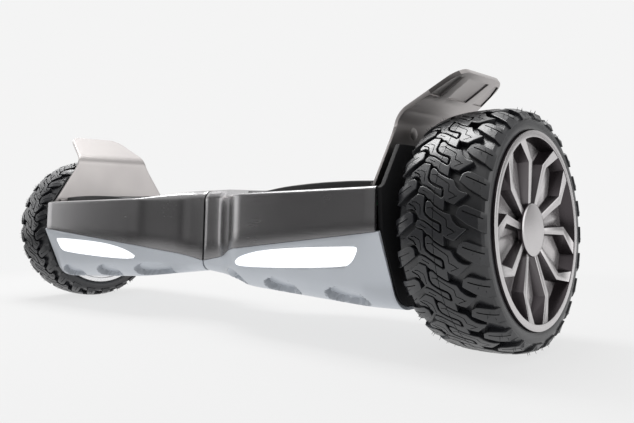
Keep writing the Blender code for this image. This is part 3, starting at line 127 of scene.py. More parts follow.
def parts_of(tree, kind, output):
    """The X, Y and Z of another node's vector."""
    return add_node(tree, "SeparateXYZ", {0: add_node(tree, kind).outputs[output]}).outputs


def new_material(name):
    material = bpy.data.materials.new(name)
    material.use_nodes = True
    return material, material.node_tree


SHADER = "Principled BSDF"
print("node helpers ready")

# %% [markdown]
# The board stands on a white floor that runs out of sight, so floor and background meet
# without a line. A big soft lamp hangs overhead, and two weak ones stand to the left, low in
# front and high up. The surroundings are bright behind the board and darker on the camera's
# side, because satin lacquer only looks like lacquer when it has light and dark to mirror.

# %% Light the studio
BACKGROUND = (0.905, 0.905, 0.905, 1.0)
DIM_LIGHT = 0.09
bpy.context.scene.view_settings.view_transform = "Standard"
world = bpy.data.worlds.new("studio")
bpy.context.scene.world = world
world.use_nodes = True
air = world.node_tree
air.nodes.clear()
direction = add_node(air, "TexCoord").outputs["Generated"]
light = DIM_LIGHT
for aim, low, high, strength in (
        ((-0.42, 0.91, 0.10), 0.60, 0.73, 0.85), ((0.91, 0.42, 0.10), 0.84, 0.97, 2.00),
        ((0.0, 0.0, 1.0), 0.25, 0.85, 0.90), ((-0.47, -0.88, 0.10), 0.90, 0.985, 0.28),
        ((0.75, -0.66, 0.25), 0.55, 0.95, 0.25)):
    closeness = toward(air, direction, Vector(aim).normalized())
    light = calc(air, "ADD", ranged(air, closeness, low, high, 0.0, strength, "SMOOTHSTEP"), light)
surroundings = add_node(air, "Background", {"Strength": light})
backdrop = add_node(air, "Background", {"Color": BACKGROUND, "Strength": 1.0})
seen = add_node(air, "MixShader", {0: add_node(air, "LightPath").outputs["Is Camera Ray"],
                                   1: surroundings.outputs[0], 2: backdrop.outputs[0]})
add_node(air, "OutputWorld", {"Surface": seen.outputs[0]})


def add_lamp(name, place, aim, width, height, watts):
    lamp = bpy.data.lights.new(name, "AREA")
    lamp.shape = "RECTANGLE"
    lamp.size, lamp.size_y, lamp.energy = width, height, watts
    obj = bpy.data.objects.new(name, lamp)
    turned_to = (Vector(aim) - Vector(place)).to_track_quat("-Z", "Y").to_matrix().to_4x4()
    turned_to.translation = Vector(place)
    obj.matrix_world = turned_to
    bpy.context.scene.collection.objects.link(obj)


add_lamp("overhead", (-0.6, 0.1, 1.6), (-0.6, 0.0, 0.1), 1.8, 0.7, 34)
add_lamp("left_front", (-1.07, -0.46, 0.25), (-0.27, -0.1, 0.12), 0.4, 0.5, 1.0)
add_lamp("left_side", (-1.7, 0.1, 0.8), (0.0, 0.0, 0.1), 1.2, 1.0, 4)

bpy.ops.mesh.primitive_plane_add(size=60.0)
floor = bpy.context.object
floor.name = "floor"
paper, tree = new_material("white_paper")
tree.nodes.clear()
place = add_node(tree, "NewGeometry").outputs["Position"]
span = add_node(tree, "VectorMath", {0: place}, operation="LENGTH").outputs["Value"]
lit = add_node(tree, "BsdfDiffuse", {"Color": (0.55, 0.55, 0.55, 1.0)})
ahead = toward(tree, place, (0.35, 0.94, 0.0))
mirrored_floor = ranged(tree, ahead, -0.7, -0.15, 0.05, 1.0, "SMOOTHSTEP")
from_camera = add_node(tree, "LightPath").outputs["Is Camera Ray"]
brightness = calc(tree, "MAXIMUM", mirrored_floor, from_camera)
plain = add_node(tree, "Emission", {"Color": BACKGROUND, "Strength": brightness})
blend = add_node(tree, "MixShader", {0: ranged(tree, span, 0.55, 1.0, 0.80, 1.0, "SMOOTHSTEP"),
                                     1: lit.outputs[0], 2: plain.outputs[0]})
add_node(tree, "OutputMaterial", {"Surface": blend.outputs[0]})
floor.data.materials.append(paper)
print("lamps", len(bpy.data.lights))

# %% [markdown]
# Nothing on the real board is one flat colour. Lacquer has a fine orange peel and broad,
# faint smudges, and moulded plastic and rubber have a grain. One node group makes all of
# these from solid noise in the object's own space, and each material calls it with its own
# colours, scale and depth. A second group lays pale dust where a surface faces up.

# %% Build the shared surface effects
GREY = (0.5, 0.5, 0.5, 1.0)
OUTPUT_KINDS = {"Colour": "Color", "Normal": "Vector", "Roughness": "Float"}


def new_group(name, inputs, outputs):
    """A shader node group, the outputs that bring its inputs in, and its last node."""
    group = bpy.data.node_groups.new(name, "ShaderNodeTree")
    for label, value in inputs.items():
        kind = "NodeSocketFloat" if isinstance(value, float) else "NodeSocketColor"
        group.interface.new_socket(label, in_out="INPUT", socket_type=kind).default_value = value
    for label in outputs:
        group.interface.new_socket(label, in_out="OUTPUT", socket_type="NodeSocket" + OUTPUT_KINDS[label])
    return group, group.nodes.new("NodeGroupInput").outputs, group.nodes.new("NodeGroupOutput")


skin, given, made = new_group("fine_skin", {
    "Colour": GREY, "Second colour": GREY, "Grain size": 900.0, "Grain depth": 0.1, "Streak": 1.0,
    "Roughness": 0.4, "Roughness spread": 0.1}, ("Colour", "Roughness", "Normal"))
own = add_node(skin, "TexCoord").outputs["Object"]
stretch = add_node(skin, "CombineXYZ", {"X": given["Streak"], "Y": 1.0, "Z": 1.0}).outputs["Vector"]
scaled = add_node(skin, "VectorMath", {0: own, 1: stretch}, operation="MULTIPLY").outputs["Vector"]
grain = add_node(skin, "TexNoise", {"Vector": scaled, "Scale": given["Grain size"], "Detail": 2.0,
                                    "Roughness": 0.6}).outputs["Fac"]
broad = add_node(skin, "TexNoise", {"Vector": own, "Scale": 14.0, "Detail": 3.0}).outputs["Fac"]
varied = calc(skin, "SUBTRACT", calc(skin, "ADD", grain, broad), 1.0)
relief = add_node(skin, "Bump", {"Height": grain, "Strength": given["Grain depth"], "Distance": 0.0004})
fill(made, {
    "Colour": mixed(skin, ranged(skin, broad, 0.35, 0.70), given["Colour"], given["Second colour"]),
    "Roughness": calc(skin, "MULTIPLY_ADD", varied, given["Roughness spread"], given["Roughness"]),
    "Normal": relief.outputs["Normal"]})

dust, given, made = new_group("settled_dust", {
    "Colour": GREY, "Dust colour": (0.35, 0.33, 0.31, 1.0), "Amount": 0.2}, ("Colour",))
upward = ranged(dust, parts_of(dust, "NewGeometry", "Normal")["Z"], 0.2, 0.9)
own = add_node(dust, "TexCoord").outputs["Object"]
specks = add_node(dust, "TexNoise", {"Vector": own, "Scale": 60.0, "Detail": 6.0,
                                     "Roughness": 0.7}).outputs["Fac"]
patches = calc(dust, "MULTIPLY", upward, ranged(dust, specks, 0.45, 0.75))
fill(made, {"Colour": mixed(dust, calc(dust, "MULTIPLY", patches, given["Amount"]), given["Colour"],
                            given["Dust colour"])})


def finish(name, colour, second, roughness, metallic=0.0, grain=900.0, depth=0.1, streak=1.0,
           spread=0.08, dusty=0.0, coat=0.0, specular=0.5):
    """A material that draws its colour, roughness and relief from the shared groups."""
    material, tree = new_material(name)
    surface = add_node(tree, "Group", {
        "Colour": (*colour, 1.0), "Second colour": (*second, 1.0), "Grain size": grain, "Grain depth": depth,
        "Streak": streak, "Roughness": roughness, "Roughness spread": spread}, node_tree=skin).outputs
    colour_from = surface["Colour"]
    if dusty:
        settled = add_node(tree, "Group", {"Colour": colour_from, "Amount": dusty}, node_tree=dust)
        colour_from = settled.outputs["Colour"]
    fill(tree.nodes[SHADER], {
        "Metallic": metallic, "Coat Weight": coat, "Coat Roughness": 0.18, "Specular IOR Level": specular,
        "Base Color": colour_from, "Roughness": surface["Roughness"], "Normal": surface["Normal"]})
    return material


GUNMETAL = finish("gunmetal_lacquer", (0.31, 0.305, 0.31), (0.27, 0.265, 0.27), 0.25, 0.95,
                  grain=420.0, depth=0.14, streak=0.03)
SILVER = finish("silver_lacquer", (0.63, 0.665, 0.715), (0.59, 0.625, 0.675), 0.36, 0.25, grain=1400.0,
                depth=0.05, spread=0.06, coat=0.15)
FENDER = finish("fender_lacquer", (0.50, 0.475, 0.465), (0.46, 0.435, 0.43), 0.34, 0.90,
                grain=1500.0, depth=0.05)
# Painted shade: a dark copy of the fender lacquer for the window floors under the lip and the low front and
# back edges.
FENDER_SHADE = finish("fender_shade", (0.15, 0.14, 0.138), (0.12, 0.112, 0.11), 0.40, 0.85,
                grain=1500.0, depth=0.05)
BLACK = finish("black_moulding", (0.008, 0.008, 0.009), (0.014, 0.014, 0.015), 0.58, grain=1800.0,
               depth=0.35, spread=0.12, dusty=0.03, specular=0.14)
MAT = finish("mat_rubber", (0.016, 0.016, 0.017), (0.024, 0.024, 0.025), 0.55, grain=2200.0, depth=0.5,
             spread=0.15, dusty=0.06)
TYRE = finish("tyre_rubber", (0.009, 0.0095, 0.012), (0.016, 0.017, 0.021), 0.35, grain=1300.0, depth=0.25,
              spread=0.06, dusty=0.03, coat=0.22, specular=0.7)
RIM = finish("wheel_lacquer", (0.62, 0.60, 0.605), (0.56, 0.54, 0.545), 0.26, 0.92, grain=1600.0,
             depth=0.02, spread=0.06)


def darkened(material, tone, build_mask):
    """Paint shade into a material's colour: mix it with a dark tone where a mask says so."""
    tree = material.node_tree
    shader = tree.nodes[SHADER]
    source = shader.inputs["Base Color"].links[0].from_socket
    fill(shader, {"Base Color": mixed(tree, build_mask(tree), source, (*tone, 1.0))})


def along_axle(tree):
    """How far a face looks along the axle, to either side: 0 to 1."""
    return calc(tree, "ABSOLUTE", parts_of(tree, "NewGeometry", "Normal")["X"])


def steep_wall_shade(tree):
    """Painted shade on the wheel cover's recess walls: 1 on faces that run along the axle and 0 on faces that
    look along it.
    """
    return ranged(tree, along_axle(tree), 0.30, 0.85, 1.0, 0.0)


def wheel_side_shade(tree):
    """Painted shade: 1 low down on the edges and the side that faces the wheel, fading out towards the bend.
    """
    normal, place = parts_of(tree, "NewGeometry", "Normal"), parts_of(tree, "TexCoord", "Object")
    near = ranged(tree, calc(tree, "MULTIPLY", normal["X"], place["X"]), -0.10, -0.02)
    return calc(tree, "MULTIPLY", near, ranged(tree, place["Z"], 0.150, 0.222, 0.9, 0.0, "SMOOTHSTEP"))


def scoop_wall_shade(tree):
    """Painted shade: 1 on the end walls of the scoops along the body's lower edge."""
    low = ranged(tree, parts_of(tree, "TexCoord", "Object")["Z"], 0.058, 0.066, 1.0, 0.0)
    return calc(tree, "MULTIPLY", ranged(tree, along_axle(tree), 0.15, 0.95), low)


# Painted shade: the scoop walls of the lower covers, the recess walls of the wheel covers and the low,
# wheel-facing part of the fenders are darkened in their colour.
darkened(SILVER, (0.28, 0.30, 0.33), scoop_wall_shade)
darkened(RIM, (0.075, 0.065, 0.07), steep_wall_shade)
darkened(FENDER, (0.03, 0.028, 0.028), wheel_side_shade)
print("materials", len(bpy.data.materials))

# %% [markdown]
# The pieces are modelled by hand moves: a primitive, then extrusions, moves and modifiers.
# These few helpers keep each step short. A long shell starts as a flat grid whose crossing
# points are carried to the body's sections, and a slab starts as a filled circle whose
# corners are moved to an outline and pulled up.

# %% Build the modelling helpers


def only(obj, *others):
    """Select these objects alone and make the first one active."""
    bpy.ops.object.select_all(action="DESELECT")
    for each in (obj, *others):
        each.select_set(True)
    bpy.context.view_layer.objects.active = obj
    return obj


def edit(obj):
    """Open a piece for edit-mode moves, with all of it selected."""
    only(obj)
    bpy.ops.object.mode_set(mode="EDIT")
    bpy.ops.mesh.select_all(action="SELECT")


def face_outwards():
    """Turn every face outwards and leave edit mode."""
    bpy.ops.mesh.select_all(action="SELECT")
    bpy.ops.mesh.normals_make_consistent(inside=False)
    bpy.ops.object.mode_set(mode="OBJECT")


def cut_across(obj, axis, places):
    """Cut the faces on planes square to an axis, so that they can bend there."""
    edit(obj)
    for place in places:
        bpy.ops.mesh.select_all(action="SELECT")
        bpy.ops.mesh.bisect(plane_co=[place * MM * part for part in axis], plane_no=axis)
    bpy.ops.object.mode_set(mode="OBJECT")
    return obj


def shaped(obj, kind, **settings):
    """Add a modifier, set it up and apply it."""
    only(obj)
    modifier = obj.modifiers.new(kind.lower(), kind)
    for key, value in settings.items():
        setattr(modifier, key, value)
    bpy.ops.object.modifier_apply(modifier=modifier.name)
    return obj


def bevelled(obj, width, segments=2, angle=40.0):
    return shaped(obj, "BEVEL", width=width * MM, segments=segments, limit_method="ANGLE",
                  angle_limit=math.radians(angle), harden_normals=False)


def combined(obj, tool, operation="DIFFERENCE"):
    """Boolean with a tool that is used up."""
    shaped(obj, "BOOLEAN", operation=operation, solver="EXACT", object=tool)
    bpy.data.objects.remove(tool, do_unlink=True)
    return obj


def joined(first, *others):
    """Join pieces into the first one and settle its place into its mesh."""
    only(first, *others)
    bpy.ops.object.join()
    bpy.ops.object.transform_apply(location=True, rotation=True, scale=True)
    return first


def smooth(obj, angle=32.0):
    only(obj)
    bpy.ops.object.shade_smooth_by_angle(angle=math.radians(angle))
    return obj


def placed(obj, matrix):
    """Move a piece by moving its mesh, and turn its faces back out after a mirror."""
    obj.data.transform(matrix)
    if matrix.determinant() < 0:
        obj.data.flip_normals()
    return obj


def lifted(obj, height):
    return placed(obj, Matrix.Translation((0, 0, height * MM)))


def twin(obj, matrix=Matrix.Identity(4)):
    """A second piece with its own mesh, moved to its own place."""
    other = obj.copy()
    other.data = obj.data.copy()
    bpy.context.scene.collection.objects.link(other)
    return placed(other, matrix)


def sheet(columns, rows, place):
    """A flat grid whose crossing points move to place(column, row)."""
    bpy.ops.object.select_all(action="DESELECT")
    bpy.ops.mesh.primitive_grid_add(x_subdivisions=columns, y_subdivisions=rows, size=1.0)
    obj = bpy.context.object
    for vert in obj.data.vertices:
        vert.co = place(round((vert.co.x + 0.5) * columns), round((vert.co.y + 0.5) * rows))
    return obj


def slab(outline, height):
    """A filled circle with its corners moved to an outline in millimetres, then pulled up."""
    bpy.ops.object.select_all(action="DESELECT")
    bpy.ops.mesh.primitive_circle_add(vertices=len(outline), fill_type="NGON")
    obj = bpy.context.object
    for vert, (x, y) in zip(obj.data.vertices, outline):
        vert.co = (x * MM, y * MM, 0.0)
    edit(obj)
    bpy.ops.mesh.extrude_region_move(TRANSFORM_OT_translate={"value": (0, 0, height * MM)})
    face_outwards()
    return obj


def turned(profile, sides, closed=False):
    """A ring of edges carried along a profile of (radius, height) by extruding and scaling."""
    bpy.ops.object.select_all(action="DESELECT")
    radius, height = profile[0]
    bpy.ops.mesh.primitive_circle_add(vertices=sides, radius=radius * MM)
    obj = bpy.context.object
    edit(obj)
    bpy.ops.transform.translate(value=(0, 0, height * MM))
    if not closed:
        bpy.ops.mesh.edge_face_add()
    for r, h in profile[1:] + profile[:1] * closed:
        bpy.ops.mesh.extrude_region_move(TRANSFORM_OT_translate={"value": (0, 0, (h - height) * MM)})
        bpy.ops.transform.resize(value=(r / radius, r / radius, 1.0), center_override=(0, 0, 0))
        radius, height = r, h
    bpy.ops.mesh.select_all(action="SELECT")
    bpy.ops.mesh.remove_doubles(threshold=0.00001)
    face_outwards()
    return obj


def post(radius, depth, place, sides=32, rotation=(0, 0, 0)):
    """A cylinder with its middle at a place in millimetres."""
    bpy.ops.mesh.primitive_cylinder_add(vertices=sides, radius=radius * MM, depth=depth * MM,
                                        location=[part * MM for part in place], rotation=rotation)
    return bpy.context.object


def brick(size, place, angle=0.0):
    bpy.ops.mesh.primitive_cube_add(size=1.0, location=[part * MM for part in place], rotation=(0, 0, angle),
                                    scale=[part * MM for part in size])
    return bpy.context.object


def circle(radius, degrees, height):
    angle = math.radians(degrees)
    return radius * math.cos(angle), radius * math.sin(angle), height


def both_sides(half):
    """Close a half outline of (y, z) with its mirror image at -y."""
    return [(-y, z) for y, z in half] + half[::-1]


def steps(start, stop, count):
    return [start + (stop - start) * k / count for k in range(count + 1)]


def complete(obj, name, material, body, *nodes):
    """Name a finished piece, give it its material, its body and the nodes it stands for."""
    obj.name = obj.data.name = name
    obj.data.materials.clear()
    obj.data.materials.append(material)
    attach(obj, body)
    if nodes:
        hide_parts(*nodes)
    return obj


LEFT = Matrix.Scale(-1.0, 4, Vector((1.0, 0.0, 0.0)))
HALF_TURN = Matrix.Rotation(math.pi, 4, "Z")


def both_hands(obj, name, material, body, node, to_left=LEFT):
    """Complete a piece of the right half and a copy of it for the left half."""
    complete(obj, "right_" + name, material, "right_" + body, "right_" + node)
    complete(twin(obj, to_left), "left_" + name, material, "left_" + body, "left_" + node)


print("helpers ready")

# %% [markdown]
# Each half of the body is two moulded shells. Their depth, seam, deck and belly follow
# smooth lines along the board: a straight neck, a flared shoulder and a long flank. The
# same lines drive the measured model, so the finer surfaces here fall on its solids.

# %% Write down the body's lines, in millimetres
AXLE, WHEEL = 108.0, 108.0
COVER_END, LOWER_END, NECK_END, SHOULDER, HIP = 288.6, 292.6, 36.0, 89.0, 105.0
DECK, NECK_TOP, WALL, SEAM_GAP, CENTRE_GAP = 147.5, 155.0, 3.0, 0.5, 3.0
MAT_TOP, MAT_BOTTOM, POCKET_FLOOR = 154.8, 144.4, 143.0


def ramp(distance, half=8.0):
    """0 before a bend and the distance after it, with a soft change between."""
    if distance <= -half:
        return 0.0
    return distance if distance >= half else (distance + half) ** 2 / (4.0 * half)


def half_width(x):
    return 54.0 + 0.70 * ramp(x - NECK_END, 13.0) - 0.62 * ramp(x - SHOULDER, 16.0)


def seam_height(x):
    return 70.2 + 0.175 * x + 0.045 * ramp(x - NECK_END) - 0.120 * ramp(x - SHOULDER)


def bottom_height(x):
    return 58.2 - 0.11 * x + 0.066 * ramp(x - HIP, 16.0)


def deck_height(x):
    return NECK_TOP - (NECK_TOP - DECK) / (SHOULDER - NECK_END) * (ramp(x - NECK_END) - ramp(x - SHOULDER))


def flare(x):
    return min(1.0, max(0.0, (x - NECK_END) / (SHOULDER - NECK_END)))


def lower_lean(x):
    start = COVER_END - 26.6
    return 0.154 + 0.25 * ramp(x - start) / (LOWER_END - start)


def line_to(start, stop, shares):
    return [(start[0] + (stop[0] - start[0]) * s, start[1] + (stop[1] - start[1]) * s) for s in shares]


def upper_section(x):
    """Half a section from the middle of the deck over its edge and down to the seam."""
    width, seam, top, radius = half_width(x), seam_height(x), deck_height(x), 14.0 - 10.0 * flare(x)
    side = width - 0.05 * (top - radius - seam)
    points = [(y, top) for y in steps(0.0, side - radius, 6)[:-1]]
    for angle in steps(math.pi / 2, 0.0, 8):
        points.append((side - radius + radius * math.cos(angle), top - radius + radius * math.sin(angle)))
    return points + line_to(points[-1], (width, seam + SEAM_GAP / 2), (0.3, 0.65, 1.0))


def lower_section(x):
    """Half a section from the middle of the belly round the corner and up to the seam."""
    width, seam, bottom, radius = half_width(x), seam_height(x), bottom_height(x), 11.0 + 14.0 * flare(x)
    lean = math.atan(lower_lean(x))
    centre_z = bottom + radius
    centre_y = width - math.tan(lean) * (seam - centre_z + radius * math.sin(lean)) - radius * math.cos(lean)
    points = [(y, bottom) for y in steps(0.0, centre_y, 6)[:-1]]
    for angle in steps(-math.pi / 2, -lean, 18):
        points.append((centre_y + radius * math.cos(angle), centre_z + radius * math.sin(angle)))
    return points + line_to(points[-1], (width, seam - SEAM_GAP / 2), steps(0.0, 1.0, 11)[1:])


ROUND_PART = 6  # a section's first points, up to this one, lie on its flat middle


def shell(section, stations, dent=None):
    """A sheet through the sections at each station, mirrored from side to side."""
    halves = [section(x) for x in stations]
    middle = len(halves[0]) - 1

    def place(column, row):
        y, z = halves[column][abs(row - middle)]
        x = stations[column]
        point = Vector((x, y if row > middle else -y, z))
        if dent:
            point += dent(x, halves[column], row - middle)
        return point * MM

    return sheet(len(stations) - 1, 2 * middle, place)


BENDS = [26.0, 28, 30, 32, 34, 36, 38, 40, 42, 44, 46, 52, 58, 64, 70, 76, 79, 81, 83, 85, 87, 89,
         91, 93, 95, 97, 99, 103, 107]
NECK_STATIONS = [CENTRE_GAP / 2, 8.0, 17.0]
print("half width at the shoulder", round(half_width(SHOULDER), 1), "mm")

# %% [markdown]
# The upper cover is one lacquered lid with a soft edge. A wall is grown inwards, then the
# pocket that holds the foot mat is sunk into the deck. Cutting the pocket is the simple way
# to get its sharp corner, which a lofted sheet alone can't show.

# %% Model the upper covers
FLANK = COVER_END - SHOULDER
MAT_LENGTH = COVER_END - 16.5 - SHOULDER
MAT_PLACES = [(-0.060, 36.0), (0.045, 21.0), (0.224, 17.6), (0.497, 16.4), (0.726, 17.7), (1.0, 21.7)]


def eased(points, rounds=2):
    """Round an open line of points off by cutting its corners, keeping both ends."""
    for _ in range(rounds):
        cut = [points[0]]
        for (x0, y0), (x1, y1) in zip(points, points[1:]):
            for far in (0.25, 0.75):
                cut.append((x0 * (1.0 - far) + x1 * far, y0 * (1.0 - far) + y1 * far))
        points = cut + [points[-1]]
    return points


def mat_outline(margin=0.0):
    corners = [(SHOULDER + share * MAT_LENGTH, inset) for share, inset in MAT_PLACES]
    side = [(x, half_width(x) - inset + margin) for x, inset in corners]
    side[0] = (side[0][0] - margin, side[0][1])
    side[-1] = (side[-1][0] + margin, side[-1][1])
    side = [side[0]] + eased(side[1:-1]) + [side[-1]]
    return [(x, -y) for x, y in side] + side[::-1]


cover = shell(upper_section, NECK_STATIONS + BENDS + steps(115.0, COVER_END, 14))
shaped(cover, "SOLIDIFY", thickness=WALL * MM, offset=-1.0, use_rim=True)
combined(cover, lifted(slab(mat_outline(5.0), DECK - 1.2 - POCKET_FLOOR + 2.0), POCKET_FLOOR - 2.0), "UNION")
combined(cover, lifted(slab(mat_outline(0.5), 20.0), POCKET_FLOOR))
smooth(bevelled(cover, 0.5, 2, 50.0))
both_hands(cover, "upper_shell", GUNMETAL, "half", "upper_cover")
print("upper cover", len(cover.data.polygons), "faces")

# %% [markdown]
# The lower cover is a deep tray. Along its lower edge run shallow scoops, sharp where they
# start and fading outwards, so their depth is worked into the sheet before the wall is
# grown. The lamp opening is cut last, and the lamp's lens is cut from the same wall, a
# little smaller, so it lies flush.

# %% Model the lower covers and the lamps
SCOOPS = [SHOULDER + share * FLANK for share in (-0.060, 0.348, 0.772)]
SCOOP_ROW, SCOOP_REACH, SCOOP_LENGTH, SCOOP_DEPTH, SCOOP_EDGE = 15, 13.0, 25.0, 7.5, 0.22
LENS_TOP = [(0.020, -33.5), (0.060, -28.3), (0.155, -23.2), (0.290, -18.7), (0.490, -15.6), (0.740, -13.4),
            (0.880, -12.4)]
LENS_BOTTOM = [(0.897, -15.0), (0.845, -30.0), (0.760, -32.6), (0.496, -35.8), (0.245, -37.8), (0.040, -38.0)]


def scoop(x, section, row):
    """How far a point sinks: a dish along the lower edge with steep sides and a level floor."""
    y, z = section[abs(row)]
    middle = section[SCOOP_ROW]
    across = math.hypot(y - middle[0], z - middle[1]) / SCOOP_REACH
    for centre in SCOOPS:
        inside = 1.0 - ((x - centre) / SCOOP_LENGTH) ** 2 - across ** 2
        if inside > 0.0:
            share = min(1.0, inside / SCOOP_EDGE)
            sunk = SCOOP_DEPTH * share * share * (3.0 - 2.0 * share)
            return Vector((0.0, -1.0 if row > 0 else 1.0, 1.1)).normalized() * sunk
    return Vector((0, 0, 0))


def lens_outline(inset):
    """The lamp's outline in the upright plane, drawn in by the inset and eased at its corners."""
    points = [Vector((SHOULDER + share * FLANK, AXLE + z)) for share, z in LENS_TOP + LENS_BOTTOM]
    result = []
    for k, point in enumerate(points):
        before = (point - points[k - 1]).normalized()
        after = (points[(k + 1) % len(points)] - point).normalized()
        normal = Vector((before.y + after.y, -before.x - after.x)).normalized()
        drawn = point + normal * inset / max(0.5, normal.dot(Vector((after.y, -after.x))))
        result.append((drawn.x, drawn.y))
    return eased(result + result[:1], 3)[2:-2]


def lens_prism(inset):
    front = Matrix.Translation((0, (-half_width(SHOULDER) + 15.0) * MM, 0))
    return placed(slab(lens_outline(inset), 45.0), front @ Matrix.Rotation(math.pi / 2, 4, "X"))


stations = NECK_STATIONS + BENDS[:12] + steps(60.0, 272.0, 128) + steps(275.0, LOWER_END, 8)
belly = shell(lower_section, stations, scoop)
belly.data.flip_normals()
shaped(belly, "SOLIDIFY", thickness=WALL * MM, offset=-1.0, use_rim=True)
glass = twin(belly)
combined(belly, lens_prism(0.0))
combined(glass, lens_prism(0.35), "INTERSECT")
smooth(bevelled(belly, 0.35, 2, 55.0))
smooth(bevelled(glass, 0.5, 3, 50.0))
print("lower cover", len(belly.data.polygons), "faces; lens", len(glass.data.polygons))
LENS, tree = new_material("lamp_lens_white")
flutes = add_node(tree, "TexWave", {"Vector": add_node(tree, "TexCoord").outputs["Object"], "Scale": 42.0,
                                    "Distortion": 0.0}, wave_type="BANDS", bands_direction="X").outputs["Fac"]
glow = mixed(tree, flutes, (0.93, 0.96, 0.98, 1.0), (1.0, 1.0, 1.0, 1.0))
ridges = add_node(tree, "Bump", {"Height": flutes, "Strength": 0.25, "Distance": 0.0005})
fill(tree.nodes[SHADER], {"Roughness": 0.25, "Base Color": glow, "Emission Color": glow,
                          "Emission Strength": 0.78, "Normal": ridges.outputs["Normal"]})
both_hands(belly, "lower_shell", SILVER, "half", "lower_cover")
both_hands(glass, "lens", LENS, "half", "lamp_lens")

# %% [markdown]
# The tyre's tread repeats every 15 degrees. Each pitch has two shoulder lugs and two broken
# centre blocks whose edges step like stairs. They are easiest to draw flat: x runs across
# the tread and y down the front of the wheel, in millimetres. Each outline becomes a slab
# with softened edges, narrow slits are cut into it, and then it is wrapped round the tyre.

# %% Draw the tread blocks flat
PITCHES, PITCH_ANGLE, PITCH_LENGTH, TREAD_DEPTH, ROOT = 24, 15.0, 27.0, 5.6, 1.2
INNER_LUG = [(-42, 17.4), (-38.9, 17.2), (-35.5, 15.8), (-24.3, 11.2), (-22.2, 11.0), (-19, 13),
             (-18.5, 19.2), (-30, 26.5), (-35.5, 30), (-38.9, 31.5), (-42, 31.8)]
OUTER_LUG = [(18.5, 14.8), (20.5, 8.5), (24, 6.6), (27, 6.8), (37, 10.8), (42.5, 12.5), (42.5, 28.5),
             (36, 26), (27, 21)]
LEFT_BLOCK = [(-16, 23.8), (-9.4, 25.9), (-9.5, 37.8), (-7.7, 41.3), (-3.2, 44.6), (0.6, 46.4), (4.6, 48),
              (5.6, 49.2), (5.5, 53.6), (0.5, 50.6), (-3.4, 47.8), (-8.2, 44.9), (-12.5, 43.4), (-14.3, 42),
              (-15.3, 39.5), (-17.2, 37.2), (-21, 35.8), (-26, 36.5), (-27, 34), (-26, 31), (-22, 28.3)]
RIGHT_BLOCK = [(-7.6, 31.2), (-6.2, 29.6), (-3.6, 30.4), (0, 34.2), (5, 37.2), (10, 39.5), (14, 40.5),
               (15, 42.3), (16.4, 45.4), (19.5, 48.8), (23, 50.6), (27, 51.2), (26.6, 52.3), (17, 60.3),
               (10.5, 58.2), (8.7, 56.5), (8.5, 64.5), (5, 62.8), (0, 59.8), (-3.4, 56), (-6, 55.2),
               (-7.8, 53.5), (-9.2, 51.9), (-15.8, 49.8), (-16.2, 47.5), (-14.8, 44.8), (-12.6, 44.6),
               (-8.4, 46.1), (-3.6, 49), (0.2, 51.8), (5.8, 54.9), (7.4, 54), (7.4, 49), (6.6, 47.6),
               (5.2, 46.3), (1, 44.6), (-2.6, 42.9), (-6.4, 40.2), (-7.6, 37.4)]
# Each outline goes with its slits: a path, a width and a depth.
TREAD = (
    (INNER_LUG, [([(-38.9, 22.5), (-24, 16.6)], 0.8, 2.5)]),
    (OUTER_LUG, [([(23.5, 10.8), (38.5, 16.6)], 1.0, 3.0)]),
    (LEFT_BLOCK, [([(-24, 31.5), (-18.5, 34), (-16.5, 37)], 1.2, 2.5),
                  ([(-21, 30.3), (-17.5, 30.3), (-13, 32.8), (-12.3, 35), (-12, 41)], 0.6, 3.0),
                  ([(-0.6, 44), (-0.6, 53)], 0.5, 0.6)]),
    (RIGHT_BLOCK, [([(-2, 36), (2, 38.5), (9.5, 43.2), (11.2, 44.5), (11.6, 50), (16, 52.3),
                     (17.5, 53.7)], 0.7, 3.0),
                   ([(-6, 35.5), (-1, 35.5)], 0.6, 1.5), ([(-0.6, 33), (-0.6, 62)], 0.5, 0.6),
                   ([(-12, 48), (-6, 51)], 0.6, 1.5), ([(12, 56.2), (19, 53.6)], 0.6, 1.5)]))


def strip(path, width):
    """The outline of a narrow band along an open path."""
    points = [Vector(p) for p in path]
    left, right = [], []
    for k, point in enumerate(points):
        ahead = points[min(k + 1, len(points) - 1)] - points[max(k - 1, 0)]
        off = Vector((-ahead.y, ahead.x)).normalized() * width / 2
        left.append(tuple(point + off))
        right.append(tuple(point - off))
    return left + right[::-1]


def tread_block(outline, slits):
    """A slab with soft edges and slits, cut across every 7 mm so that it can bend."""
    block = bevelled(slab(outline, ROOT + TREAD_DEPTH), 0.55, 2, 35.0)
    for path, width, depth in slits:
        combined(block, lifted(slab(strip(path, width), depth + 2.0), ROOT + TREAD_DEPTH - depth))
    cut_across(block, (1, 0, 0), range(-35, 42, 7))
    return cut_across(block, (0, 1, 0), range(14, 63, 7))


blocks = [tread_block(outline, slits) for outline, slits in TREAD]
print("faces in one pitch", sum(len(block.data.polygons) for block in blocks))

# %% [markdown]
# Wrapping bends the flat blocks round the axle and over the shoulder. The body under them
# is turned from one profile, and it bulges past the blocks at the sidewall before it tucks
# in at the bead. The far wheel is this same tyre turned half round, not a mirror image, as
# both wheels come out of one mould.

# %% Wrap the tread and turn the tyre
FIRST_PITCH, TREAD_EDGE, EDGE_TILT = -90.2, 38.9, 34.0
NUB_ANGLES, NUB_PLACES = (3.1, 7.4, 9.0, 13.2, 1.2, 11.0), (-30.5, 33.0, 30.5, -33.5, -35.0, 35.5)
ON_RIGHT_WHEEL = Matrix.Translation((0.345, 0, 0.108)) @ Matrix.Rotation(math.pi / 2, 4, "Y")


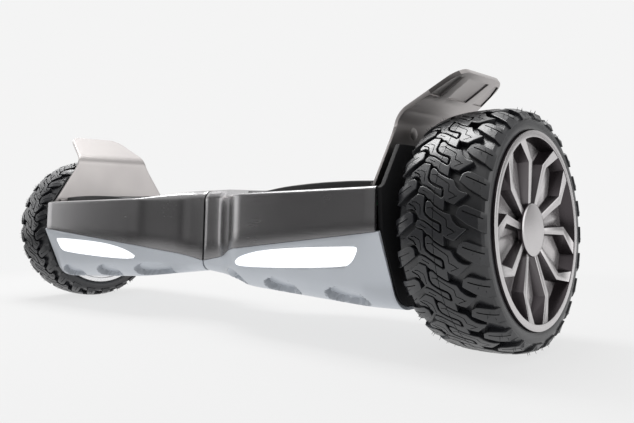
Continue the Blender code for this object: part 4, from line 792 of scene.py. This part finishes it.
def over_tread(s):
    """Height along the axle, radius and outward direction at a distance across the tread."""
    side, reach = math.copysign(1.0, s), abs(s)
    if reach <= TREAD_EDGE:
        tilt = math.radians(EDGE_TILT) * (reach / TREAD_EDGE) ** 3
        return s, WHEEL - 0.001378 * s ** 2 - 2.321e-6 * s ** 4, math.sin(tilt) * side, math.cos(tilt)
    past = (reach - TREAD_EDGE) / 3.6
    tilt = math.radians(EDGE_TILT + 44.0 * min(1.0, past))
    return side * (TREAD_EDGE + 0.9 * past), 100.6 - 4.2 * past, math.sin(tilt) * side, math.cos(tilt)


def wrapped(block, pitch):
    for vert in block.data.vertices:
        x, y, z = vert.co / MM
        h, r, out_h, out_r = over_tread(x)
        sunk = ROOT + TREAD_DEPTH - z
        if abs(x) > 34.0:
            sunk *= 1.0 - 0.55 * min(1.0, (abs(x) - 34.0) / 8.0)
        h, r = h - out_h * sunk, r - out_r * sunk
        angle = FIRST_PITCH + (y + PITCH_LENGTH * pitch) * PITCH_ANGLE / PITCH_LENGTH
        vert.co = Vector(circle(r, angle, h)) * MM
    return block


tread = [wrapped(twin(block), pitch) for pitch in range(PITCHES) for block in blocks]
for block in blocks:
    bpy.data.objects.remove(block, do_unlink=True)
side = [(86.2, 36.6), (86.9, 38.0), (89.0, 38.7), (92.0, 38.9), (95.0, 38.7), (97.5, 37.6), (99.2, 35.8),
        (100.3, 32.0), (101.2, 25.0), (101.9, 14.0), (102.3, 0.0)]
tyre = joined(turned(side + [(r, -h) for r, h in side[-2::-1]], 144, closed=True), *tread)
edit(tyre)
face_outwards()
nubs = []
for pitch in range(PITCHES):
    for degrees, across in zip(NUB_ANGLES, NUB_PLACES):
        angle = FIRST_PITCH + PITCH_ANGLE * pitch + degrees
        h, r, out_h, out_r = over_tread(across)
        out = Vector(circle(out_r, angle, out_h))
        bpy.ops.mesh.primitive_cone_add(vertices=5, radius1=0.35 * MM, radius2=0.12 * MM, depth=5.0 * MM,
                                        location=Vector(circle(r, angle, h)) * MM,
                                        rotation=out.to_track_quat("Z", "Y").to_euler())
        nubs.append(bpy.context.object)
placed(smooth(joined(tyre, *nubs), 20.0), ON_RIGHT_WHEEL)
both_hands(tyre, "treaded_tyre", TYRE, "wheel", "tyre", HALF_TURN)
print("tyre", len(tyre.data.polygons), "faces")

# %% [markdown]
# The wheel cover is a dished disc. Five pairs of kinked spokes run from the ring down to
# the hub. Moulded spokes lean a little so that they leave the mould. Spokes and disc are
# united, and then one soft edge is rolled over all of them.

# %% Model the wheel covers and hub caps
RIM_FACE, RIM_FLOOR, RIM_RING, HUB_FACE, CAP = 40.2, 27.5, 80.2, 33.4, 23.15
SPOKE = [(20, 4.6), (56.6, 18.7), (82.4, 7.2), (82.4, 18.2), (53.8, 25.6), (18, 9.2)]


def offset_outline(points, distance):
    """Move every edge of an outline that runs clockwise outwards by a distance."""
    result = []
    for k, point in enumerate(points):
        here, before, after = Vector(point), Vector(points[k - 1]), Vector(points[(k + 1) % len(points)])
        one, two = (here - before).normalized(), (after - here).normalized()
        first, second = Vector((one.y, -one.x)), Vector((two.y, -two.x))
        result.append(tuple(here + (first + second) * distance / (1.0 + first.dot(second))))
    return result


def leaning_slab(outline, height, lean):
    """A slab whose foot is wider than its top."""
    obj = slab(outline, height)
    area = sum(a[0] * b[1] - b[0] * a[1] for a, b in zip(outline, outline[1:] + outline[:1]))
    foot = offset_outline(outline, lean * math.copysign(1.0, area))
    for vert in obj.data.vertices:
        if vert.co.z < 0.01 * MM:
            index = min(range(len(outline)), key=lambda k: (Vector(outline[k]) * MM - vert.co.to_2d()).length)
            vert.co = Vector((*foot[index], 0.0)) * MM
    return obj


disc = turned([(RIM_RING - 1.6, RIM_FLOOR), (RIM_RING, RIM_FACE), (86.0, RIM_FACE), (86.0, 24.8)], 144)
for degrees in range(48, 408, 72):
    turn = Matrix.Rotation(math.radians(degrees), 4, "Z")
    for hand in (-1, 1):
        spoke = leaning_slab([(u, hand * v) for u, v in SPOKE], RIM_FACE - RIM_FLOOR + 0.6, 1.5)
        for vert in spoke.data.vertices:
            if vert.co.z > 5 * MM:
                reach = vert.co.to_2d().length / MM
                top = HUB_FACE + (RIM_FACE - 0.25 - HUB_FACE) * min(1.0, (reach - CAP) / (RIM_RING - CAP))
                vert.co.z = (top - RIM_FLOOR + 0.8) * MM
        combined(disc, placed(spoke, turn @ Matrix.Translation((0, 0, (RIM_FLOOR - 0.8) * MM))), "UNION")
bevelled(disc, 0.45, 2, 28.0)
cap = turned([(17.2, 28.0), (17.2, 30.2), (22.3, 30.2), (CAP, 31.0), (CAP, 33.7), (22.8, 34.5), (22.0, 35.0),
              (20.5, 35.2), (0.01, 35.2)], 72)
for piece, name, node in ((disc, "spoked_cover", "rim_cover"), (cap, "hub_disc", "hub_cap")):
    placed(smooth(piece, 25.0), ON_RIGHT_WHEEL @ Matrix.Rotation(math.pi / 2, 4, "Z"))
    both_hands(piece, name, RIM, "wheel", node, HALF_TURN)
print("rim cover", len(disc.data.polygons), "faces")

# %% [markdown]
# The fenders are one moulding that rises from the deck, bends over the wheel and ends in a
# lip with three windows pressed into its under side. A sheet that follows the bend is given
# thickness, a little more at the lip than at the foot. The lower part stands in front of a
# black plate that closes the wheel arch.

# %% Model the fenders and wheel arches
FENDER_X, FENDER_FOOT, BEND_Z, BEND_R, LIP_ANGLE, LIP = 286.6, 147.8, 204.5, 14.0, math.radians(32.5), 56.0
BEND_HALF, LIP_HALF, LIP_CORNER, FENDER_WALL = 60.0, 41.0, 14.0, 6.0
TURN_BY = math.pi / 2 - LIP_ANGLE
RISE, BEND_RUN = BEND_Z - FENDER_FOOT, BEND_R * TURN_BY
TIP = RISE + BEND_RUN + LIP
MIDDLE_WINDOW = [(-17, 22), (17, 22), (18.5, 49), (-18.5, 49)]
OUTER_WINDOW = [(49.5, 22), (46, 35.5), (39.5, 48), (37.5, 49), (31, 49), (31, 22)]


def fender_point(s):
    """Place on the fender's outer face at a distance up from its foot."""
    if s <= RISE:
        return FENDER_X, FENDER_FOOT + s
    angle = min(TURN_BY, (s - RISE) / BEND_R)
    x = FENDER_X + BEND_R * (1.0 - math.cos(angle))
    z = BEND_Z + BEND_R * math.sin(angle)
    beyond = max(0.0, s - RISE - BEND_RUN)
    return x + beyond * math.cos(LIP_ANGLE), z + beyond * math.sin(LIP_ANGLE)


def fender_reach(s):
    """Half the fender's width there: it tapers, and rounds off at the end of the lip."""
    base = half_width(COVER_END) - 9.0
    steep, gentle = (BEND_HALF - base) / RISE, (LIP_HALF - BEND_HALF) / (TIP - RISE)
    width = base + steep * s + (gentle - steep) * ramp(s - RISE, 13.0)
    fall = max(0.0, LIP_CORNER - (TIP - s))
    return width - LIP_CORNER + math.sqrt(max(0.0, LIP_CORNER ** 2 - fall ** 2))


def on_fender(column, row):
    x, z = fender_point(rows[column])
    return Vector((x, fender_reach(rows[column]) * (row / 16.0 - 1.0), z)) * MM


rows = steps(0.0, RISE - 2.0, 8) + steps(RISE, RISE + BEND_RUN, 12)
rows += steps(RISE + BEND_RUN + 5, TIP - LIP_CORNER, 4)
rows += [TIP - LIP_CORNER + LIP_CORNER * math.sin(math.radians(a)) for a in (15, 30, 45, 58, 70, 80, 90)]
fender = sheet(len(rows) - 1, 32, on_fender)
count = len(fender.data.vertices)
shaped(fender, "SOLIDIFY", thickness=FENDER_WALL * MM, offset=1.0, use_rim=True)
for face, back in zip(fender.data.vertices[:count], fender.data.vertices[count:]):
    share = 0.43 + 0.30 * min(1.0, max(0.0, (face.co.z / MM - BEND_Z + 10.0) / 40.0))
    back.co = face.co.lerp(back.co, share)
lip_x, lip_z = fender_point(RISE + BEND_RUN)
on_lip = axes_at(Vector((lip_x, 0.0, lip_z)) * MM, Vector((0.0, 1.0, 0.0)),
                 Vector((math.cos(LIP_ANGLE), 0.0, math.sin(LIP_ANGLE))),
                 Vector((math.sin(LIP_ANGLE), 0.0, -math.cos(LIP_ANGLE))))
for outline in (MIDDLE_WINDOW, OUTER_WINDOW, [(-y, s) for y, s in OUTER_WINDOW[::-1]]):
    window = placed(leaning_slab(outline, 4.4, 1.0), Matrix.Diagonal((1, 1, -1, 1)))
    combined(fender, placed(window, on_lip @ Matrix.Translation((0, 0, 1.5 * MM))))
bevelled(fender, 0.9, 3)
for y, z in ((-38.0, 197.0), (-73.0, 160.0), (38.0, 197.0), (73.0, 160.0)):
    combined(fender, bevelled(post(5.6, 0.44, (FENDER_X, y, z), 40, (0, math.pi / 2, 0)), 0.1), "UNION")
foot = brick((7.0, 2 * (fender_reach(0.0) - 6.0), 3.0), (FENDER_X - 8.5, 0, FENDER_FOOT + 1.5))
smooth(combined(fender, bevelled(foot, 0.8), "UNION"), 30.0)
both_hands(fender, "fender_shell", FENDER, "half", "fender")
# The window floors and the low edges get the dark copy of the lacquer, which is painted shade.
fender.data.materials.append(FENDER_SHADE)
for face in fender.data.polygons:
    place = on_lip.inverted() @ face.center / MM
    in_window = -4.0 < place.z < -0.3 and 20.0 < place.y < 51.0 and abs(place.x) < 51.0
    if abs(face.normal.y) > 0.4 and (in_window or face.center.z < 0.2):
        face.material_index = 1


def upright_slab(half, thickness, x):
    """A slab that stands across the board at x, from half an outline of (y, z)."""
    across = Matrix(((0, 0, 1, x * MM), (1, 0, 0, 0), (0, 1, 0, 0), (0, 0, 0, 1)))
    return slab(both_sides(half), thickness), across


end = lower_section(LOWER_END)[ROUND_PART:]
inner = []
for k, (y, z) in enumerate(end[:-1]):
    run = (Vector(end[k + 1]) - Vector(end[max(k - 1, 0)])).normalized()
    inner.append((y - run.y * 3.8, z + run.x * 3.8))
side = half_width(LOWER_END)
half = inner + [(side - 4.7, AXLE + 38.0), (side - 10.2, AXLE + 41.0), (side - 34.7, AXLE + 77.0)]
arch, standing = upright_slab(half, 4.6, 289.0)
combined(arch, post(21.0, 20.0, (0, AXLE, 0), 64))
placed(smooth(bevelled(arch, 0.7)), standing)
both_hands(arch, "arch_plate", BLACK, "half", "wheel_arch")
print("fender", len(fender.data.polygons), "faces; arch", len(arch.data.polygons))

# %% [markdown]
# A rider's feet press on rubber mats that lie in the pockets. Each is one slab: its top is
# sunk to leave a raised rim, rows of low bars give grip, and the whole top swells gently
# towards the middle, with the inner corners curling up a little. The pads that touch the
# switches hang below. A thin rubber gasket closes the slot where the two halves turn.

# %% Model the foot mats
SWELL = [(84, 150.9), (98, 150.2), (112, 149.0), (124, 148.8), (136, 149.8), (148, 151.1), (160, 152.2),
         (172, 152.9), (196, 153.9), (214, 154.3), (244, 154.3), (258, 153.9), (290, 152.6)]
FIRST_BAR, BAR_PITCH = 100.0, 8.5
GASKET_SHARE, GASKET_CENTRE = 0.94, 106.0


def mat_top(x):
    for (x0, z0), (x1, z1) in zip(SWELL, SWELL[1:]):
        if x <= x1:
            return z0 + (z1 - z0) * max(0.0, x - x0) / (x1 - x0)
    return SWELL[-1][1]


mat = bevelled(lifted(slab(mat_outline(), MAT_TOP - MAT_BOTTOM), MAT_BOTTOM), 1.3, 3)
combined(mat, bevelled(lifted(slab(mat_outline(-6.0), 5.0), MAT_TOP - 1.1), 0.5))
cut_across(mat, (1, 0, 0), range(90, 270, 6))
bars = []
x = FIRST_BAR
while x < COVER_END - 26.0:
    reach = half_width(x) - 34.0 - 8.0 * max(0.0, (118.0 - x) / 18.0)
    bars.append(bevelled(brick((3.4, 2 * reach, 1.9), (x, 0, MAT_TOP - 1.0)), 0.5))
    x += BAR_PITCH
bars += [post(5.5, 6.2, (SHOULDER + share * FLANK, 0, MAT_BOTTOM - 1.6)) for share in (0.205, 0.656)]
joined(mat, *bars)
for vert in mat.data.vertices:
    above = vert.co.z / MM - MAT_BOTTOM
    if above > 0.0:
        swell = (mat_top(vert.co.x / MM) - MAT_BOTTOM) / (MAT_TOP - MAT_BOTTOM)
        vert.co.z = (MAT_BOTTOM + above * swell) * MM
both_hands(smooth(mat), "mat_rubber", MAT, "mat", "foot_mat")

lower, upper = lower_section(CENTRE_GAP / 2)[ROUND_PART:], upper_section(CENTRE_GAP / 2)[ROUND_PART:]
half = [(y * GASKET_SHARE, GASKET_CENTRE + (z - GASKET_CENTRE) * GASKET_SHARE)
        for y, z in lower + upper[::-1]]
seal, standing = upright_slab(half, 2.2, -1.1)
complete(placed(smooth(bevelled(seal, 0.5)), standing), "neck_gasket", MAT, "left_half", "centre_seal")
print("mat", len(mat.data.polygons), "faces,", len(bars), "bars and pads")

# %% [markdown]
# Small hardware sits on the rear wall of the right half: a power button with a lit ring and
# a charging socket under a hinged rubber cap. Both stand on a frame whose third axis points
# out of the leaning wall. The holes for them are cut in the cover first.

# %% Model the button, the charging port and the screws
ALLOY = finish("cast_metal", (0.46, 0.46, 0.47), (0.38, 0.38, 0.39), 0.50, 0.85, grain=700.0,
               depth=0.25, spread=0.12)
STEEL = finish("turned_steel", (0.52, 0.52, 0.53), (0.45, 0.45, 0.46), 0.30, 1.0, streak=8.0)
POLISHED = finish("polished_alloy", (0.86, 0.86, 0.87), (0.80, 0.80, 0.81), 0.22, 0.9, grain=300.0,
                  depth=0.03, spread=0.06)
RING_LIGHT = finish("ring_light", (0.25, 0.65, 0.95), (0.20, 0.55, 0.85), 0.35, grain=600.0, depth=0.02)
fill(RING_LIGHT.node_tree.nodes[SHADER], {"Emission Color": (0.15, 0.55, 1.0, 1.0), "Emission Strength": 0.6})
BUTTON_X, PORT_X, PORT_HEIGHT = 122.0, 158.0, AXLE - 28.5
CUP = [(6.9, -10.0), (6.9, 1.2), (7.3, 1.7), (9.6, 1.8), (10.5, 1.4), (10.8, 0.8), (10.8, 0.3), (8.3, 0.3),
       (8.3, -12.0)]


def on_wall(x, z):
    return Vector((x, half_width(x) - lower_lean(x) * (seam_height(x) - z), z))


def wall_place(x):
    """The leaning rear wall's own frame: first axis along the board, third axis outwards."""
    here = on_wall(x, PORT_HEIGHT)
    along = (on_wall(x + 1, PORT_HEIGHT) - here).normalized()
    outward = (on_wall(x, PORT_HEIGHT + 1) - here).normalized().cross(along).normalized()
    return axes_at(here * MM, along, outward.cross(along).normalized(), outward)


def hardware(profile, place, name, material, body, *nodes, extras=()):
    """A turned piece with what is joined to it, set on the rear wall."""
    piece = joined(turned(profile, 64), *extras)
    return complete(placed(smooth(piece, 30.0), place), name, material, body, *nodes)


button_at, port_at = wall_place(BUTTON_X), wall_place(PORT_X)
for place in (button_at, port_at):
    combined(belly, placed(turned([(8.6, -14.0), (8.6, 8.0)], 48), place))
smooth(belly)
CUP_FLOOR = [(7.4, -11.9), (7.4, -10.0)]
hardware(CUP, button_at, "button_sleeve", BLACK, "right_half", "button_housing",
         extras=[turned(CUP_FLOOR, 64)])
pins = [bevelled(post(0.9, 5.0, circle(3.4, degrees, -8.5), 20), 0.3) for degrees in (90, 210, 330)]
hardware(CUP, port_at, "port_cup", BLACK, "right_half", "charge_socket", extras=[
    turned(CUP_FLOOR, 64), *pins, bevelled(brick((10.0, 5.0, 1.5), (0, -11.3, 1.05)), 0.4)])
hardware([(7.5, 1.75), (7.5, 2.0), (8.6, 2.0), (8.6, 1.75)], button_at, "button_ring", RING_LIGHT,
         "right_half")
hardware([(6.6, -5.0), (6.6, 2.4), (6.3, 3.0), (5.6, 3.3), (3.0, 3.15), (0.01, 3.05)], button_at,
         "power_key", STEEL, "button", "power_button")
hardware([(9.8, 2.1), (9.8, 3.6), (9.4, 4.2), (8.8, 4.5), (5.0, 4.5), (4.6, 4.1), (0.01, 4.1)], port_at,
         "port_lid", MAT, "port_cap", "charge_cap",
         extras=[bevelled(brick((8.0, 13.6, 1.8), (0, -6.8, 3.2)), 0.4)])

for side, matrix in (("right", Matrix.Identity(4)), ("left", LEFT)):
    heads = []
    for x, inset in ((130.0, 44.0), (245.0, 48.0)):
        for y_side in (-1, 1):
            y, z = y_side * (half_width(x) - inset), bottom_height(x) - 0.1
            head = bevelled(post(3.4, 1.4, (x, y, z)), 0.4)
            for angle in (0.0, math.pi / 2):
                combined(head, brick((3.6, 0.8, 1.2), (x, y, z - 0.7), angle))
            heads.append(head)
    complete(placed(smooth(joined(*heads)), matrix), side + "_belly_screws", STEEL, side + "_half")
print("hardware done")

# %% [markdown]
# The hub motor's inner face shows behind the arch: a cast drum with a bolted cover. The
# drum is turned with enough sides to look round from near by.

# %% Model the motor drums
drum = turned([(86.0, 24.3), (86.0, -37.3), (85.0, -38.3), (80.0, -38.3), (80.0, -32.0), (71.3, -32.0),
               (71.3, 19.5), (23.3, 19.5), (23.3, 13.3), (17.8, 13.3), (17.8, 24.3)], 128, closed=True)
plate = turned([(79.4, -32.3), (79.4, -37.2), (78.6, -38.0), (60.0, -38.0), (58.0, -36.8), (34.0, -36.8),
                (32.0, -38.0), (17.8, -38.0), (17.8, -27.0), (23.3, -27.0), (23.3, -32.3)], 128, closed=True)
joined(plate, *(bevelled(post(2.8, 3.0, circle(72.0, 22.5 + 45.0 * k, -38.0), 6), 0.3) for k in range(8)))
for piece, name, node in ((drum, "motor_drum", "motor_shell"), (plate, "motor_plate", "side_cover")):
    both_hands(placed(smooth(piece, 30.0), ON_RIGHT_WHEEL), name, POLISHED, "wheel", node, HALF_TURN)
print("drum", len(drum.data.polygons), "faces")

# %% [markdown]
# What lies inside keeps the measured solids. Each still gets its own finish, so that it
# looks right when the covers are lifted off.

# %% Finish the inner pieces
COPPER = finish("wound_copper", (0.55, 0.24, 0.11), (0.30, 0.28, 0.27), 0.42, 0.7, grain=2600.0, depth=0.6,
                streak=0.2, spread=0.15)
BOARD = finish("circuit_board", (0.02, 0.14, 0.07), (0.03, 0.20, 0.09), 0.40, grain=1200.0,
               depth=0.25, spread=0.1)
WRAP = finish("shrink_wrap", (0.03, 0.08, 0.26), (0.05, 0.12, 0.34), 0.32, grain=260.0, depth=0.45,
              spread=0.12)
NYLON = finish("white_nylon", (0.74, 0.73, 0.69), (0.66, 0.65, 0.61), 0.48, depth=0.15)
CABLE = finish("cable_sleeve", (0.020, 0.020, 0.022), (0.035, 0.035, 0.037), 0.45, grain=1500.0, depth=0.30)


def left_and_right(*names):
    return [side + name for name in names for side in ("left_", "right_")]


INNER = {
    ALLOY: left_and_right("frame", "axle_clamp") + ["heat_sink"],
    STEEL: left_and_right("motor_axle", "magnet_ring", "bearing_outer", "bearing_inner") + [
        "pivot_tube", "pivot_collar"],
    COPPER: left_and_right("stator"),
    BOARD: left_and_right("lamp_board", "sensor_board") + ["control_board"],
    WRAP: ["battery_pack"], NYLON: ["pivot_bush_inner", "pivot_bush_outer"],
    CABLE: left_and_right("motor_cable") + ["centre_harness"]}
for material, names in INNER.items():
    for name in names:
        NODES[name].data.materials.clear()
        NODES[name].data.materials.append(material)
print("inner pieces", sum(len(names) for names in INNER.values()))
